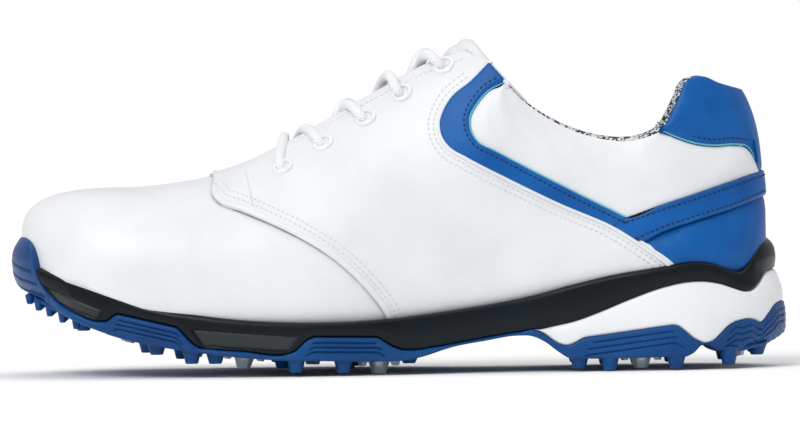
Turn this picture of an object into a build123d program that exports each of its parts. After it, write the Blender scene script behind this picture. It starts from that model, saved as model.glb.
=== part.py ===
"""Golf shoe for the left foot, with twist-lock cleats. All sizes in millimetres.

The toe points to -X, the heel to +X, the outer (lateral) side to -Y, and the ground is Z = 0.
The upper is built as nested copies of one last: every layer is the space between two copies.
The sole is one plan outline cut by side-view curves into outsole, frame, wedge and cushion.
"""
import os
from bisect import bisect_right
from math import cos, pi, radians, sin, tan

from build123d import *

# Driving dimensions
LEATHER = 1.8               # thickness of the outer leather
STIFFENER = 1.2             # thickness of toe puff, heel stiffener and collar foam
LINING = 2.0                # lining where there is no stiffener, down to the same inner face
INNER_FACE = LEATHER + LINING
BOARD = 2.0                 # insole board
SOCKLINER = 4.0             # removable footbed
LACE_DIAMETER = 4.2
LACE_UNDER = INNER_FACE + 1.3 + LACE_DIAMETER / 2
TONGUE_OUTER = LACE_UNDER + LACE_DIAMETER / 2 + 3.2      # the strands dip between the rows
TONGUE_THICKNESS = 4.5
FRAME_WALL = 7.0            # width of the frame around the soft core
FAR = 80.0                  # half-width of a cutting prism, past both sides

LACE_LOOP = 5.0             # how far the lace's corner stands off the leather at an eyelet
LACE_CROSS = 2.3            # one strand passes this much above, the other below, where they cross
LACE_BEND = 3.0             # length of lace run that a bend may take, so it is straight in the holes
LACE_TAIL = [(20.5, 108), (22.5, 99.5), (23.8, 91)]     # the ends lie tucked inside the quarters
AGLET_LENGTH = 9.0
AGLET_RADIUS = 1.7
EYELET_OUTER = 8.4
EYELET_HOLE = 5.9
EYELET_BARREL = 6.8

CLEAT_FLANGE = 9.5          # radius
CLEAT_FLANGE_THICKNESS = 2.0
CLEAT_DEPTH = 7.6           # from the seat to the tip of the cone
CLEAT_GAP = 0.3
WELL_RADIUS = CLEAT_FLANGE + 0.5
STEM_RADIUS = 3.0
STEM_LUG_RADIUS = 4.2

# Rows of the last: x, bottom z, widest z, top z, outer y, inner y, roundness of the top, taper
LAST = [
    (-145.5, 43.0, 50.0, 57.5, -3.0, 14.0, 2.0, 0.0),
    (-143.0, 38.0, 49.0, 61.5, -12.0, 22.0, 2.0, 0.0),
    (-138.0, 33.0, 46.0, 68.6, -21.5, 29.5, 2.2, 0.0),
    (-130.0, 27.5, 43.0, 71.6, -31.0, 36.5, 2.3, 0.0),
    (-118.0, 23.0, 40.0, 72.6, -39.0, 43.0, 2.3, 0.0),
    (-100.0, 18.5, 37.0, 72.4, -45.0, 47.5, 2.3, 0.0),
    (-80.0, 14.5, 35.0, 74.8, -49.5, 50.0, 2.2, 0.0),
    (-58.0, 12.3, 35.0, 81.0, -51.5, 50.5, 2.0, 0.0),
    (-35.0, 11.5, 36.0, 93.3, -51.0, 48.0, 1.8, 0.0),
    (-10.0, 11.8, 38.0, 109.0, -47.5, 42.0, 1.7, 0.0),
    (10.0, 14.5, 40.0, 121.4, -42.5, 36.0, 1.75, 0.0),
    (28.0, 17.5, 42.0, 128.0, -39.0, 32.5, 2.1, 0.0),
    (48.0, 21.0, 44.0, 136.0, -36.5, 31.0, 3.5, 0.2),
    (70.0, 26.0, 46.0, 140.0, -36.0, 32.0, 5.0, 0.33),
    (95.0, 31.0, 47.0, 140.0, -36.5, 33.5, 5.0, 0.36),
    (115.0, 33.0, 48.0, 140.0, -34.5, 31.0, 5.0, 0.38),
    (124.0, 32.5, 48.0, 128.0, -31.0, 27.0, 3.0, 0.2),
    (130.0, 32.5, 48.0, 112.0, -27.0, 23.0, 2.0, 0.0),
    (134.5, 33.0, 48.0, 101.5, -22.5, 18.5, 1.7, 0.0),
    (138.5, 34.0, 49.0, 87.0, -17.0, 13.0, 1.7, 0.0),
    (141.8, 37.0, 50.0, 68.0, -9.0, 5.0, 1.8, 0.0),
]

# Angles of the facet corners round the last: bottom, outer side, top, inner side
RING_ANGLES = (-80, -50, -25, 5, 30, 50, 67, 82, 98, 113, 130, 150, 175, 205, 230, 260)

# Side-view curves, as (x, z)
FOOTBED = [(-150, 39), (-140, 35), (-120, 28.5), (-100, 22.6), (-75, 17), (-50, 14.2), (-30, 13.5),
           (0, 14.5), (20, 18.5), (50, 24.5), (80, 31.5), (110, 35.5), (130, 34.8), (150, 35.5)]
FRAME_TOP = [(-138.7, 41.8), (-119, 35.4), (-98, 27.9), (-73.4, 23.3), (-32, 20.5), (-4.8, 21.3),
             (17.6, 23.7), (37.7, 26.6), (52.8, 29.6), (66.4, 33.2), (81.8, 36.7), (99.7, 39.5),
             (114.8, 41.4), (128.6, 38.3), (133.5, 38.0), (138.5, 43.0), (142.4, 49.2)]
FRAME_REAR = [(142.4, 49.2), (145.6, 46.6), (146.5, 42.0), (146.6, 36.8)]
OUTSOLE_EDGE_TOE = [(-139.6, 41.8), (-138.7, 36.3), (-136.9, 32.0), (-133.1, 28.8), (-125.8, 25.6),
                    (-116.5, 21.7), (-112.0, 21.6)]
WINDOW_FRONT = [(-112.0, 21.6), (-108.2, 24.4), (-85.0, 19.0), (-79.6, 13.4)]
EDGE_BETWEEN = [(-79.6, 13.4), (-75.7, 11.1), (-60.0, 9.7), (-42.6, 8.6)]
WINDOW_REAR = [(-42.6, 8.6), (-38.5, 10.3), (-34.9, 13.7), (-31.4, 14.9), (-8.3, 14.2), (-3.6, 11.4),
               (1.0, 9.4)]
WAIST_EDGE = [(1.0, 9.4), (14.9, 10.4), (34.4, 13.6), (46.3, 15.6), (52.8, 16.1)]
WEDGE_TOP = [(52.8, 16.1), (68, 19.3), (76.2, 22.2), (88.6, 27.2), (101.1, 31.5), (110, 33.3),
             (117.6, 33.7), (124.5, 32.6), (136.2, 29.6), (141.0, 31.4), (146.6, 36.8)]
WEDGE_BOTTOM = [(52.8, 16.1), (59, 11.9), (63.8, 10.0), (72.1, 13.0), (105.2, 17.3), (109.3, 15.5),
                (116.9, 10.1), (120.4, 10.5), (126.6, 16.3), (133.8, 19.0), (139.7, 17.1), (149.3, 24.9)]
HEEL_REAR = [(149.3, 24.9), (149.9, 18.0), (149.0, 11.2), (146.5, 8.9)]
SOLE_BOTTOM = [(-145.6, 31.8), (-141.2, 29.6), (-122, 20.6), (-109.1, 16.0), (-90, 11.7), (-73.3, 9.05),
               (-48.5, 6.55), (-30.8, 5.97), (-10.1, 5.34), (6.4, 6.3), (20.3, 10.0), (33, 12.2),
               (46, 14.0)]
HEEL_BOTTOM = [(46, 14.0), (52, 13.6), (58.2, 10.5), (65, 4.8), (101.1, 5.0), (112.8, 5.4),
               (116.2, 8.6), (120.4, 8.8), (123.8, 7.4), (133.1, 6.8), (142.1, 8.2), (146.5, 8.9)]
BUMPER_FRONT = [(-146.7, 53.6), (-149.5, 48.8), (-150, 42.6), (-148.6, 36.0), (-145.6, 31.8)]
BUMPER_REAR = [(-146.7, 53.6), (-142.4, 48.7), (-139.6, 41.8)]
CORE_TOP = [(-150, 37), (-125, 27.3), (-104, 21.2), (-80, 14.8), (-60, 12.2), (-34, 10.7), (-8, 9.4),
            (20, 11.5), (45, 14.6), (52.8, 16.1)]
COLLAR_EDGE = [(27.9, 124.9), (35.8, 118.1), (42.2, 111.1), (49.5, 103.4), (57.4, 97.7), (68.3, 92.1),
               (79.1, 88.9), (89.5, 88.0), (97.9, 89.9), (101.8, 92.2), (105.3, 97.7), (108.7, 104.5),
               (111.6, 110.4), (116.6, 112.0), (123.5, 109.2), (132.8, 106.5), (145, 104)]
SADDLE_SEAM = [(-71.2, 70.3), (-68.5, 66.2), (-60.4, 63.2), (-48.5, 58.2), (-36.7, 52.4), (-24.9, 44.9),
               (-16, 37), (-10.2, 30.3), (-5.4, 23.3), (0, 10)]
HOOK_OUTER = [(35.7, 117.5), (28.4, 110.4), (21.4, 104.9), (18, 99.8), (16.4, 94.8), (17.2, 89.8),
              (20.1, 85.7), (26.1, 82.1), (43.4, 73.1), (62.7, 63.7), (82.4, 55.1)]
HOOK_INNER = [(87.5, 58.5), (68.1, 68.1), (51.9, 76.5), (36.9, 84.4), (31.5, 87.2), (28.4, 91.9),
              (28, 96.9), (31.1, 102.7), (35.3, 107.2), (42.5, 111.5)]
COUNTER_TOP = [(87.5, 58.5), (101.7, 63.3), (112.5, 66.6), (127.6, 71.4), (146, 77)]
COUNTER_SEAM = [(92.6, 49.0), (101.7, 52.9), (115.3, 57.3), (127.6, 60.9), (146, 67.5)]
COLLAR_BACK_LOW = [(98, 93.5), (101.4, 91.5), (107.5, 88.7), (114.5, 86.3), (120.7, 85.4), (146, 85.4)]

# Plan outline of the sole: x, outer y, inner y
SOLE_PLAN = [(-147, -15, 25), (-140, -27, 34.5), (-125, -38, 44), (-105, -45.5, 50), (-80, -51, 53.5),
             (-55, -53.7, 54), (-35, -54, 52), (-10, -51, 46), (15, -45.5, 37.5), (35, -41.5, 34),
             (55, -40, 33.5), (80, -40, 35), (100, -40, 36.5), (120, -37, 34), (135, -29.5, 26),
             (145, -18, 14)]
TOE_TIP = (-150, 6)
HEEL_TIP = (150, -2)

# Eyelets on the outer side, as (x, z), foot of the throat first
EYELETS = [(-43.6, 79.0), (-27.9, 88.0), (-11.4, 97.5), (2.6, 107.0), (19.0, 117.4)]
THROAT_FRONT = -47.0
THROAT_HALF_FRONT = 6.5
THROAT_HALF_REAR = 11.0

# Cleats: x, y and z of the seat, tilt about Y in degrees (positive points to the toe)
CLEATS = [
    (-103.8, 4.0, 19.6, 14.0), (-79.0, 31.0, 12.8, 9.0), (-59.5, -29.0, 10.4, 5.0),
    (-34.0, 32.0, 9.0, 1.0), (-8.0, -33.0, 7.6, 0.0), (93.0, -24.0, 8.1, 0.0),
    (93.0, 20.0, 8.1, 0.0), (130.0, -2.0, 11.3, -7.0),
]

# Fixed lugs moulded on the outsole: x, y, z of the tip
LUGS = [
    (-93.1, -40, 8.7), (-79.6, -44, 5.2), (-97, -26, 9.0), (-84, -14, 6.0), (-39.7, -46, 1.4),
    (-21.6, -46, 1.0), (-45, -33, 2.6), (-70.6, -44, 5.0), (3.6, -36, 3.9), (-20, -22, 1.6),
    (-60, -6, 3.6), (-40, 6, 2.2), (-62, 46, 3.2), (-98, 38, 9.4), (-48, 46, 2.0), (-18, 38, 1.0),
    (0, 30, 2.6), (-18, 12, 1.4), (-82, 8, 6.0), (-122, 18, 17.4), (-122, -14, 17.4),
    (69, -32, 1.0), (80.7, -34, 0.0), (106.2, -34, 0.6), (69, 28, 1.0), (80.7, 30, 0.0),
    (106.2, 30, 0.6), (107, -3, 2.4), (126.6, -28, 1.5), (126.6, 23, 1.5), (138, -15, 4.7),
    (138, 11, 4.7),
]


def hermite(table, x):
    """Smooth values of a table of rows whose first column is x."""
    places = [row[0] for row in table]
    x = min(max(x, places[0]), places[-1])
    i = min(max(bisect_right(places, x) - 1, 0), len(table) - 2)

    def slope(j, column):
        if j == 0 or j == len(table) - 1:
            k = min(j, len(table) - 2)
            return (table[k + 1][column] - table[k][column]) / (places[k + 1] - places[k])
        return (table[j + 1][column] - table[j - 1][column]) / (places[j + 1] - places[j - 1])

    span = places[i + 1] - places[i]
    t = (x - places[i]) / span
    row = []
    for column in range(1, len(table[0])):
        rise = (2 * t**3 - 3 * t**2 + 1) * table[i][column] + (3 * t**2 - 2 * t**3) * table[i + 1][column]
        tangent = (t**3 - 2 * t**2 + t) * slope(i, column) + (t**3 - t**2) * slope(i + 1, column)
        row.append(rise + tangent * span)
    return row


def last_point(x, angle, inset=0.0):
    """Point of the last's surface. The angle runs from -90 (bottom) through 0 (widest) to 90 (top)
    on the outer side, and on to 270 round the inner side."""
    low, wide, top, outer, inner, roundness, taper = hermite(LAST, x)
    centre = (outer + inner) / 2
    half = (inner - outer) / 2 - inset
    across = -cos(radians(angle))
    up = sin(radians(angle))
    power = 2 / roundness if up > 0 else 0.5
    height = (top - inset - wide) if up > 0 else (wide - low + (1.0 if inset else 0.0))
    rise = abs(up) ** power
    narrow = 1 - taper * rise if up > 0 else 1.0
    y = centre + half * narrow * abs(across) ** power * (1 if across > 0 else -1)
    return Vector(x, y, wide + height * rise * (1 if up > 0 else -1))


def last_solid(inset, rows=LAST):
    """The last as flat facets, shrunk by the inset everywhere but at its bottom."""
    first = rows[0][0]
    final = rows[-1][0]
    end_inset = inset if rows is LAST else 0.0
    rings = []
    for row in rows:
        x = row[0]
        place = first + end_inset + (x - first) * (final - first - 2 * end_inset) / (final - first)
        points = [last_point(x, angle, inset) for angle in RING_ANGLES]
        rings.append([Vector(place, point.Y, point.Z) for point in points])
    count = len(RING_ANGLES)
    triangles = []
    for ring, following in zip(rings, rings[1:]):
        for i in range(count):
            j = (i + 1) % count
            triangles.append((ring[i], ring[j], following[j]))
            triangles.append((ring[i], following[j], following[i]))
    faces = [Face(Wire.make_polygon(corners)) for corners in triangles]
    caps = [Face(Wire.make_polygon(ring)) for ring in (rings[0], rings[-1])]
    return Solid(Shell(faces + caps))


def side_prism(*runs, low=-FAR, high=FAR):
    """A prism along Y whose side outline runs through the (x, z) points of each run in turn."""
    corners = []
    for x, z in [point for run in runs for point in run]:
        corner = Vector(x, low, z)
        if not corners or (corner - corners[-1]).length > 1e-6:
            corners.append(corner)
    if (corners[0] - corners[-1]).length < 1e-6:
        corners.pop()
    return extrude(Face(Wire.make_polygon(corners)), amount=high - low, dir=(0, 1, 0))


def above(curve, rise=0.0, ceiling=200.0):
    """Everything above a side-view curve."""
    lifted = [(x, z + rise) for x, z in curve]
    return side_prism(lifted, [(lifted[-1][0], ceiling), (lifted[0][0], ceiling)])


def between(curve, low, high):
    """The band between two copies of a side-view curve."""
    return side_prism([(x, z + low) for x, z in curve], [(x, z + high) for x, z in reversed(curve)])


def plan_prism(inset, low=-5.0, high=70.0):
    """The sole's plan outline, drawn in by the inset, as a prism along Z."""
    outer = [Vector(x, y + inset, low) for x, y, _ in SOLE_PLAN]
    inner = [Vector(x, y - inset, low) for x, _, y in reversed(SOLE_PLAN)]
    toe = [Vector(TOE_TIP[0] + inset, TOE_TIP[1], low)]
    heel = [Vector(HEEL_TIP[0] - inset, HEEL_TIP[1], low)]
    if inset:
        outer = outer[1:-1]
        inner = inner[1:-1]
    return extrude(Face(Wire.make_polygon(toe + outer + heel + inner)), amount=high - low, dir=(0, 0, 1))


def cut(shape, cutters):
    for cutter in cutters:
        shape = shape - cutter
    return shape


def block(x0, x1, y0, y1, z0, z1):
    return Pos((x0 + x1) / 2, (y0 + y1) / 2, (z0 + z1) / 2) * Box(x1 - x0, y1 - y0, z1 - z0)


def save(shape, name):
    """Write one node, leaving out crumbs of under a cubic millimetre."""
    solids = [solid for solid in shape.solids() if solid.volume > 1.0]
    export_step(solids[0] if len(solids) == 1 else Compound(children=solids), f"parts/{name}.step")


# --- surface frames for eyelets -----------------------------------------------------------------

def surface_angle(x, z, inner_side):
    """Angle of the last's surface at height z, on the outer or the inner side."""
    low, high = 0.0, 90.0
    for _ in range(40):
        middle = (low + high) / 2
        if last_point(x, middle).Z < z:
            low = middle
        else:
            high = middle
    return 180 - low if inner_side else low


def surface_frame(x, z, inner_side):
    """A plane that lies on the last's surface, its Z axis pointing out."""
    angle = surface_angle(x, z, inner_side)
    here = last_point(x, angle)
    along = last_point(x + 1, angle) - last_point(x - 1, angle)
    around = last_point(x, angle + 1) - last_point(x, angle - 1)
    normal = around.cross(along).normalized()
    if normal.Z < 0:
        normal = -normal
    return Plane(origin=here, x_dir=along, z_dir=normal)


# --- upper ----------------------------------------------------------------------------------------

def throat_cutter():
    """The gap between the two eyelet rows, widening up to the ankle."""
    front = THROAT_HALF_FRONT
    rear = THROAT_HALF_REAR
    corners = [(THROAT_FRONT, -1.5 - front * 0.6), (THROAT_FRONT + 4, -1.5 - front),
               (45, -3 - rear), (45, -3 + rear), (THROAT_FRONT + 4, -1.5 + front),
               (THROAT_FRONT, -1.5 + front * 0.6)]
    edges = [Edge.make_line((*a, 68), (*b, 68)) for a, b in zip(corners, corners[1:] + corners[:1])]
    return extrude(Face(Wire(edges)), amount=80, dir=(0, 0, 1))


def collar_cutter():
    return side_prism(COLLAR_EDGE, [(145, 150), (24, 150)], [(24, 150), (24, 128.3)])


def eyelet_rows(inner_side):
    return [surface_frame(x, z, inner_side) for x, z in EYELETS]


def eyelet(frame):
    """A ring on the leather with a barrel through it."""
    depth = INNER_FACE + 1.2
    ring = Pos(0, 0, 0.8) * Cylinder(EYELET_OUTER / 2, 0.8)
    barrel = Pos(0, 0, 0.85 - depth / 2) * Cylinder(EYELET_BARREL / 2, depth)
    hole = Cylinder(EYELET_HOLE / 2, 30)
    return frame.location * (ring + barrel - hole)


def build_upper():
    outer = last_solid(0)
    leather_face = last_solid(LEATHER)
    stiffener_face = last_solid(LEATHER + STIFFENER)
    inner_face = last_solid(INNER_FACE)
    above_board = above(FOOTBED, BOARD)
    mouth = collar_cutter() + throat_cutter()
    frames = eyelet_rows(False) + eyelet_rows(True)
    punches = [frame.location * Cylinder(EYELET_BARREL / 2, 16) for frame in frames]

    leather = (outer - leather_face) & above_board
    leather = cut(leather - mouth, punches)
    save(outer & between(FOOTBED, 0, BOARD), "insole_board")

    def take(region, stock):
        return stock & region, stock - region

    def two_sides(piece, name):
        save(piece & block(-160, 160, -90, -1.5, -10, 160), f"lateral_{name}")
        save(piece & block(-160, 160, -1.5, 90, -10, 160), f"medial_{name}")

    toe_side = side_prism(SADDLE_SEAM, [(-160, 10), (-160, 90)], [(-160, 90), (-73, 90)],
                          [(-73, 90), (-71.2, 70.3)])
    patch_side = side_prism([(-71.2, 70.3), (-68.5, 66.2), (-60.4, 63.2), (-55.0, 61.0)],
                            [(-55, 61), (-58.5, 90)], [(-58.5, 90), (-73, 90)], [(-73, 90), (-71.2, 70.3)])
    vamp, leather = take(toe_side, leather)
    patches, leather = take(patch_side, leather)
    counter, leather = take(side_prism(COUNTER_SEAM, [(146, 20), (108, 20)]), leather)
    strap, leather = take(side_prism(COUNTER_SEAM, list(reversed(COUNTER_TOP)), [(87.5, 58.5), (82.4, 55.1)]),
                          leather)
    collar_back, leather = take(side_prism(COLLAR_BACK_LOW, [(146, 150), (98, 150)]), leather)
    hook, leather = take(side_prism(HOOK_OUTER, [(82.4, 55.1), (87.5, 58.5)], HOOK_INNER), leather)
    ankle, quarter = take(side_prism(list(reversed(HOOK_INNER)), [(146, 70), (146, 150), (42.5, 150)]), leather)
    save(vamp, "vamp")
    save(counter, "heel_counter_panel")
    save(strap, "heel_strap_panel")
    save(collar_back, "collar_back_panel")
    two_sides(patches, "throat_patch")
    two_sides(hook, "hook_panel")
    two_sides(ankle, "ankle_panel")
    two_sides(quarter, "quarter")

    middle = (leather_face - stiffener_face) & above_board
    toe_puff = middle & block(-160, -100, -90, 90, 0, 160)
    heel_stiffener = middle & block(80, 160, -90, 90, 0, 70)
    padding_low = side_prism([(30, 103), (52, 84), (80, 71)], [(80, 71), (150, 71)], [(150, 71), (150, 150)],
                             [(150, 150), (30, 150)])
    collar_padding = (middle & padding_low) - mouth
    save(toe_puff, "toe_puff")
    save(heel_stiffener, "heel_stiffener")
    save(collar_padding, "collar_padding")
    lining = (leather_face - inner_face) & above_board
    lining = cut(lining - mouth, punches + [toe_puff, heel_stiffener, collar_padding])
    front = block(-160, -20, -90, 90, 0, 160)
    save(lining & front, "vamp_lining")
    save(lining - front, "collar_lining")

    sockliner = inner_face & between(FOOTBED, BOARD, BOARD + SOCKLINER)
    save(sockliner & block(-134, 132, -90, 90, 0, 90), "sockliner")
    save(Compound(children=[eyelet(frame) for frame in frames[:5]]), "eyelets_lateral")
    save(Compound(children=[eyelet(frame) for frame in frames[5:]]), "eyelets_medial")
    return outer & above(FOOTBED)


# --- tongue ---------------------------------------------------------------------------------------

TAB_RADIUS = 9.4            # keeps the tab clear of the throat's edges


def build_tongue():
    instep = [row for row in LAST if -60 < row[0] < 60]
    upper_side = last_solid(TONGUE_OUTER, instep)
    under_side = last_solid(TONGUE_OUTER + TONGUE_THICKNESS, instep)
    band = block(-41, 23.5, -22, 18, 55, 130)
    roof = side_prism([(-45, 56), (0, 84), (24, 100)], [(24, 140), (-45, 140)])
    save(((upper_side - under_side) & band) & roof, "tongue_body")

    outline = side_prism([(24.5, 111.0), (25.5, 116.0), (28.2, 125.0), (31.3, 128.6)],
                         [(31.3, 128.6), (34.8, 127.3), (38.4, 123.6), (42.7, 118.1)],
                         [(42.7, 118.1), (39.0, 112.0), (33.0, 107.5), (24.5, 107.0)], low=-16, high=11)
    rounded = Pos(33, -2.7, 110) * Cylinder(TAB_RADIUS, 60)
    save(outline & rounded, "tongue_tab")


# --- lace -----------------------------------------------------------------------------------------

def gap_half(x):
    """Half the width of the throat's gap at x."""
    share = (x - THROAT_FRONT - 4) / (45 - THROAT_FRONT - 4)
    return THROAT_HALF_FRONT + (THROAT_HALF_REAR - THROAT_HALF_FRONT) * share


def ridge(x):
    """Top of the last at x, as a point."""
    return last_point(x, 90)


def crossing(x, side, level):
    """The stretch that rises from under one edge, crosses the gap and lies on the other edge."""
    start = x + 2.0
    middle = x + 6.0
    over = x + 9.0
    top = ridge(middle)
    under = Vector(start, ridge(start).Y - side * (gap_half(start) - 4.2), ridge(start).Z - 8.4)
    centre = Vector(middle, top.Y, top.Z - 1.6 + level)
    edge = Vector(over, ridge(over).Y + side * (gap_half(over) + 1.5), ridge(over).Z + 2.4)
    return [under, centre, edge]


def lace_half(side):
    """Points from the middle of the bar over the first row to the tucked end, starting on one side."""
    x, z = EYELETS[0]
    points = [ridge(x) + Vector(0, side * 5, 2.9)]
    strand = side
    for row, (x, z) in enumerate(EYELETS):
        hole = surface_frame(x, z, strand > 0)
        points.append(hole.origin + hole.z_dir * LACE_LOOP)
        points.append(hole.origin - hole.z_dir * LACE_UNDER)
        if row < len(EYELETS) - 1:
            level = LACE_CROSS if (strand > 0) == (row % 2 == 0) else -LACE_CROSS
            strand = -strand
            points += crossing(x, strand, level)
    for x, z in LACE_TAIL:
        lying = surface_frame(x, z, strand > 0)
        points.append(lying.origin - lying.z_dir * LACE_UNDER)
    return points


def build_lace():
    first, second = lace_half(-1), lace_half(1)
    points = list(reversed(first)) + second
    radii = []
    for before, here, after in zip(points, points[1:], points[2:]):
        turn = (here - before).get_angle(after - here)
        shorter = min((here - before).length, (after - here).length)
        reach = min(0.45 * shorter, LACE_BEND)
        radii.append(max(2.25, min(reach / tan(radians(turn) / 2), 8.0)))
    path = FilletPolyline(*points, radius=radii)
    section = Plane(origin=path @ 0, z_dir=path % 0) * Circle(LACE_DIAMETER / 2)
    lace = sweep(section, path=path)
    ideal = path.length * pi * LACE_DIAMETER ** 2 / 4
    print(f"lace {path.length:.0f} mm, volume {lace.volume:.0f} of {ideal:.0f}")
    save(lace, "lace")
    tips = []
    for end, inward in ((points[0], points[1]), (points[-1], points[-2])):
        tip = Pos(0, 0, AGLET_LENGTH / 2) * Cylinder(AGLET_RADIUS, AGLET_LENGTH)
        tips.append(Plane(origin=end, z_dir=end - inward) * tip)
    save(Compound(children=tips), "lace_tips")


# --- sole -----------------------------------------------------------------------------------------

def placed(shape, x, y, z, tilt):
    return Pos(x, y, z) * Rot(0, tilt, 0) * shape


def cleat():
    """A twist-lock cleat: flange, stem with two lugs, faceted centre cone and six short legs."""
    body = Pos(0, 0, -CLEAT_GAP - CLEAT_FLANGE_THICKNESS / 2) * Cylinder(CLEAT_FLANGE, CLEAT_FLANGE_THICKNESS)
    root = -CLEAT_GAP - CLEAT_FLANGE_THICKNESS
    cone = loft([Pos(0, 0, root + 0.3) * RegularPolygon(4.4, 6), Pos(0, 0, -CLEAT_DEPTH) * RegularPolygon(2.6, 6)])
    body = body + cone
    for turn in range(6):
        leg = loft([Pos(7.0, 0, root + 0.3) * Rectangle(3.4, 3.4), Pos(7.4, 0, root - 2.2) * Rectangle(1.8, 2.0)])
        body = body + Rot(0, 0, 60 * turn + 30) * leg
    stem = Pos(0, 0, 1.0) * Cylinder(STEM_RADIUS, 2.8)
    lugs = Pos(0, 0, 1.9) * Box(2 * STEM_LUG_RADIUS, 2.2, 1.0)
    return body + stem + lugs


def socket():
    """A receptacle in the outsole, with a round bore, a slot for the stem's lugs and a chamber."""
    body = Pos(0, 0, 1.55) * Cylinder(6.4, 3.1)
    bore = Pos(0, 0, 0.5) * Cylinder(STEM_RADIUS + CLEAT_GAP, 4)
    chamber = Pos(0, 0, 1.95) * Cylinder(STEM_LUG_RADIUS + CLEAT_GAP, 1.5)
    slot = Pos(0, 0, 0.6) * Rot(0, 0, 90) * Box(2 * (STEM_LUG_RADIUS + CLEAT_GAP), 2.8, 1.5)
    return body - bore - chamber - slot


def lug(x, y, tip, root):
    """One tapered rubber lug."""
    base = Pos(x, y, root + 2.0) * Rectangle(6.4, 7.0)
    end = Pos(x, y, tip) * Rectangle(4.2, 4.8)
    return loft([base, end])


def between_core():
    """Side region of the soft core: from the outsole's core, or the wedge, up to the footbed."""
    return side_prism(CORE_TOP, WEDGE_TOP[:-1], [(141.0, 31.4), (141.0, 34.9)],
                      list(reversed([point for point in FOOTBED if point[0] < 141] + [(141.0, 34.9)])))


def build_sole(foot):
    plan = plan_prism(0)
    core = plan_prism(FRAME_WALL)
    toe_region = side_prism(OUTSOLE_EDGE_TOE, WINDOW_FRONT, EDGE_BETWEEN, WINDOW_REAR, WAIST_EDGE,
                            WEDGE_BOTTOM, HEEL_REAR, list(reversed(HEEL_BOTTOM)),
                            list(reversed(SOLE_BOTTOM)), list(reversed(BUMPER_FRONT)), BUMPER_REAR)
    frame_region = side_prism(FRAME_TOP, FRAME_REAR, list(reversed(WEDGE_TOP)), list(reversed(WAIST_EDGE)),
                              list(reversed(WINDOW_REAR)), list(reversed(EDGE_BETWEEN)),
                              list(reversed(WINDOW_FRONT)), list(reversed(OUTSOLE_EDGE_TOE)))
    wedge_region = side_prism(WEDGE_TOP, [(146.6, 36.8), (149.3, 24.9)], list(reversed(WEDGE_BOTTOM)))
    core_high = side_prism(CORE_TOP, [(52.8, 16.1), (52.8, 70)], [(52.8, 70), (-150, 70)])
    wells = [placed(Pos(0, 0, -6) * Cylinder(WELL_RADIUS, 12), *cleat_place) for cleat_place in CLEATS]
    bodies = [placed(Pos(0, 0, 1.55) * Cylinder(6.4, 3.1), *cleat_place) for cleat_place in CLEATS]

    outsole = (plan & toe_region) - (core & core_high) - foot
    fill = core & side_prism(CORE_TOP, [(52.8, 16.1), (46, 14.0)], list(reversed(SOLE_BOTTOM[4:])),
                             [(-90, 11.7), (-125, 22)], [(-125, 22), (-150, 37)])
    outsole = outsole + fill
    for x, y, tip in LUGS:
        root = hermite(SOLE_BOTTOM + HEEL_BOTTOM[1:], x)[0]
        outsole = outsole + lug(x, y, tip, root)
    outsole = cut(outsole, wells + bodies)
    save(outsole, "outsole")

    shank = core & between(FOOTBED, -1.4, 0) & block(-15, 62, -14, 9, 0, 60)
    cushion = (core & between_core()) - shank
    frame = (plan & frame_region) - foot - (core & between_core()) - fill
    save(cut(frame, wells + bodies), "midsole_frame")
    save(cut(cushion, bodies), "midsole_cushion")
    save(shank, "shank_plate")
    save(cut(plan & wedge_region, bodies), "heel_wedge")
    save(Compound(children=[placed(socket(), *cleat_place) for cleat_place in CLEATS]), "cleat_sockets")
    for number, cleat_place in enumerate(CLEATS, 1):
        save(placed(cleat(), *cleat_place), f"cleat_{number}")


os.makedirs("parts", exist_ok=True)
foot = build_upper()
build_tongue()
build_lace()
build_sole(foot)
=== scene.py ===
# %% [markdown]
# A golf shoe is a soft, stitched upper on a hard, moulded sole. The CAD frame already holds every
# piece at its true place and size. Here each plain CAD solid is replaced by a finished mesh that
# rides on the same body, so that nothing that was measured changes.

# %% Load the frame
import math

import bmesh
import bpy
import numpy as np
from mathutils import Matrix, Vector


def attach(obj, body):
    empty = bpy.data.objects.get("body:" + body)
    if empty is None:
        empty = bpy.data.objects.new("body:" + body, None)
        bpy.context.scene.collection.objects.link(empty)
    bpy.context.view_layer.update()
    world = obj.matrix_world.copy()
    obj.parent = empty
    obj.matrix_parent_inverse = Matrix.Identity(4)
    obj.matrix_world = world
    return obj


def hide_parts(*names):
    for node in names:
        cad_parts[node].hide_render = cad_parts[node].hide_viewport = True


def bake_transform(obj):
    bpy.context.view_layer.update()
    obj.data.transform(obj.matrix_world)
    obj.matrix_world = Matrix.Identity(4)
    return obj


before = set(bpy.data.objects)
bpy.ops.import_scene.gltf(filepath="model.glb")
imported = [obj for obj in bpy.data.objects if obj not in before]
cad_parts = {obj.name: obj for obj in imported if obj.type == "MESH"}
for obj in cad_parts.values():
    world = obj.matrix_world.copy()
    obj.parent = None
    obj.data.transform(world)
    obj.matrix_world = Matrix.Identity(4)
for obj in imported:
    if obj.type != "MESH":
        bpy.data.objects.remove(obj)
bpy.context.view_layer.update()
MM = 0.001

# %% [markdown]
# Colours are easier to judge as the hex values that a paint chart gives, but Blender's shaders
# work in linear light. One function does the change for all of them. A second small function
# adds one node with its settings and links, which keeps every material a short list.

# %% Colour and node helpers


def linear(hex_value):
    """An sRGB hex colour as the linear RGBA that the shaders expect."""
    channels = [int(hex_value[i:i + 2], 16) / 255 for i in (1, 3, 5)]
    return [c / 12.92 if c <= 0.04045 else ((c + 0.055) / 1.055) ** 2.4 for c in channels] + [1.0]


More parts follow.
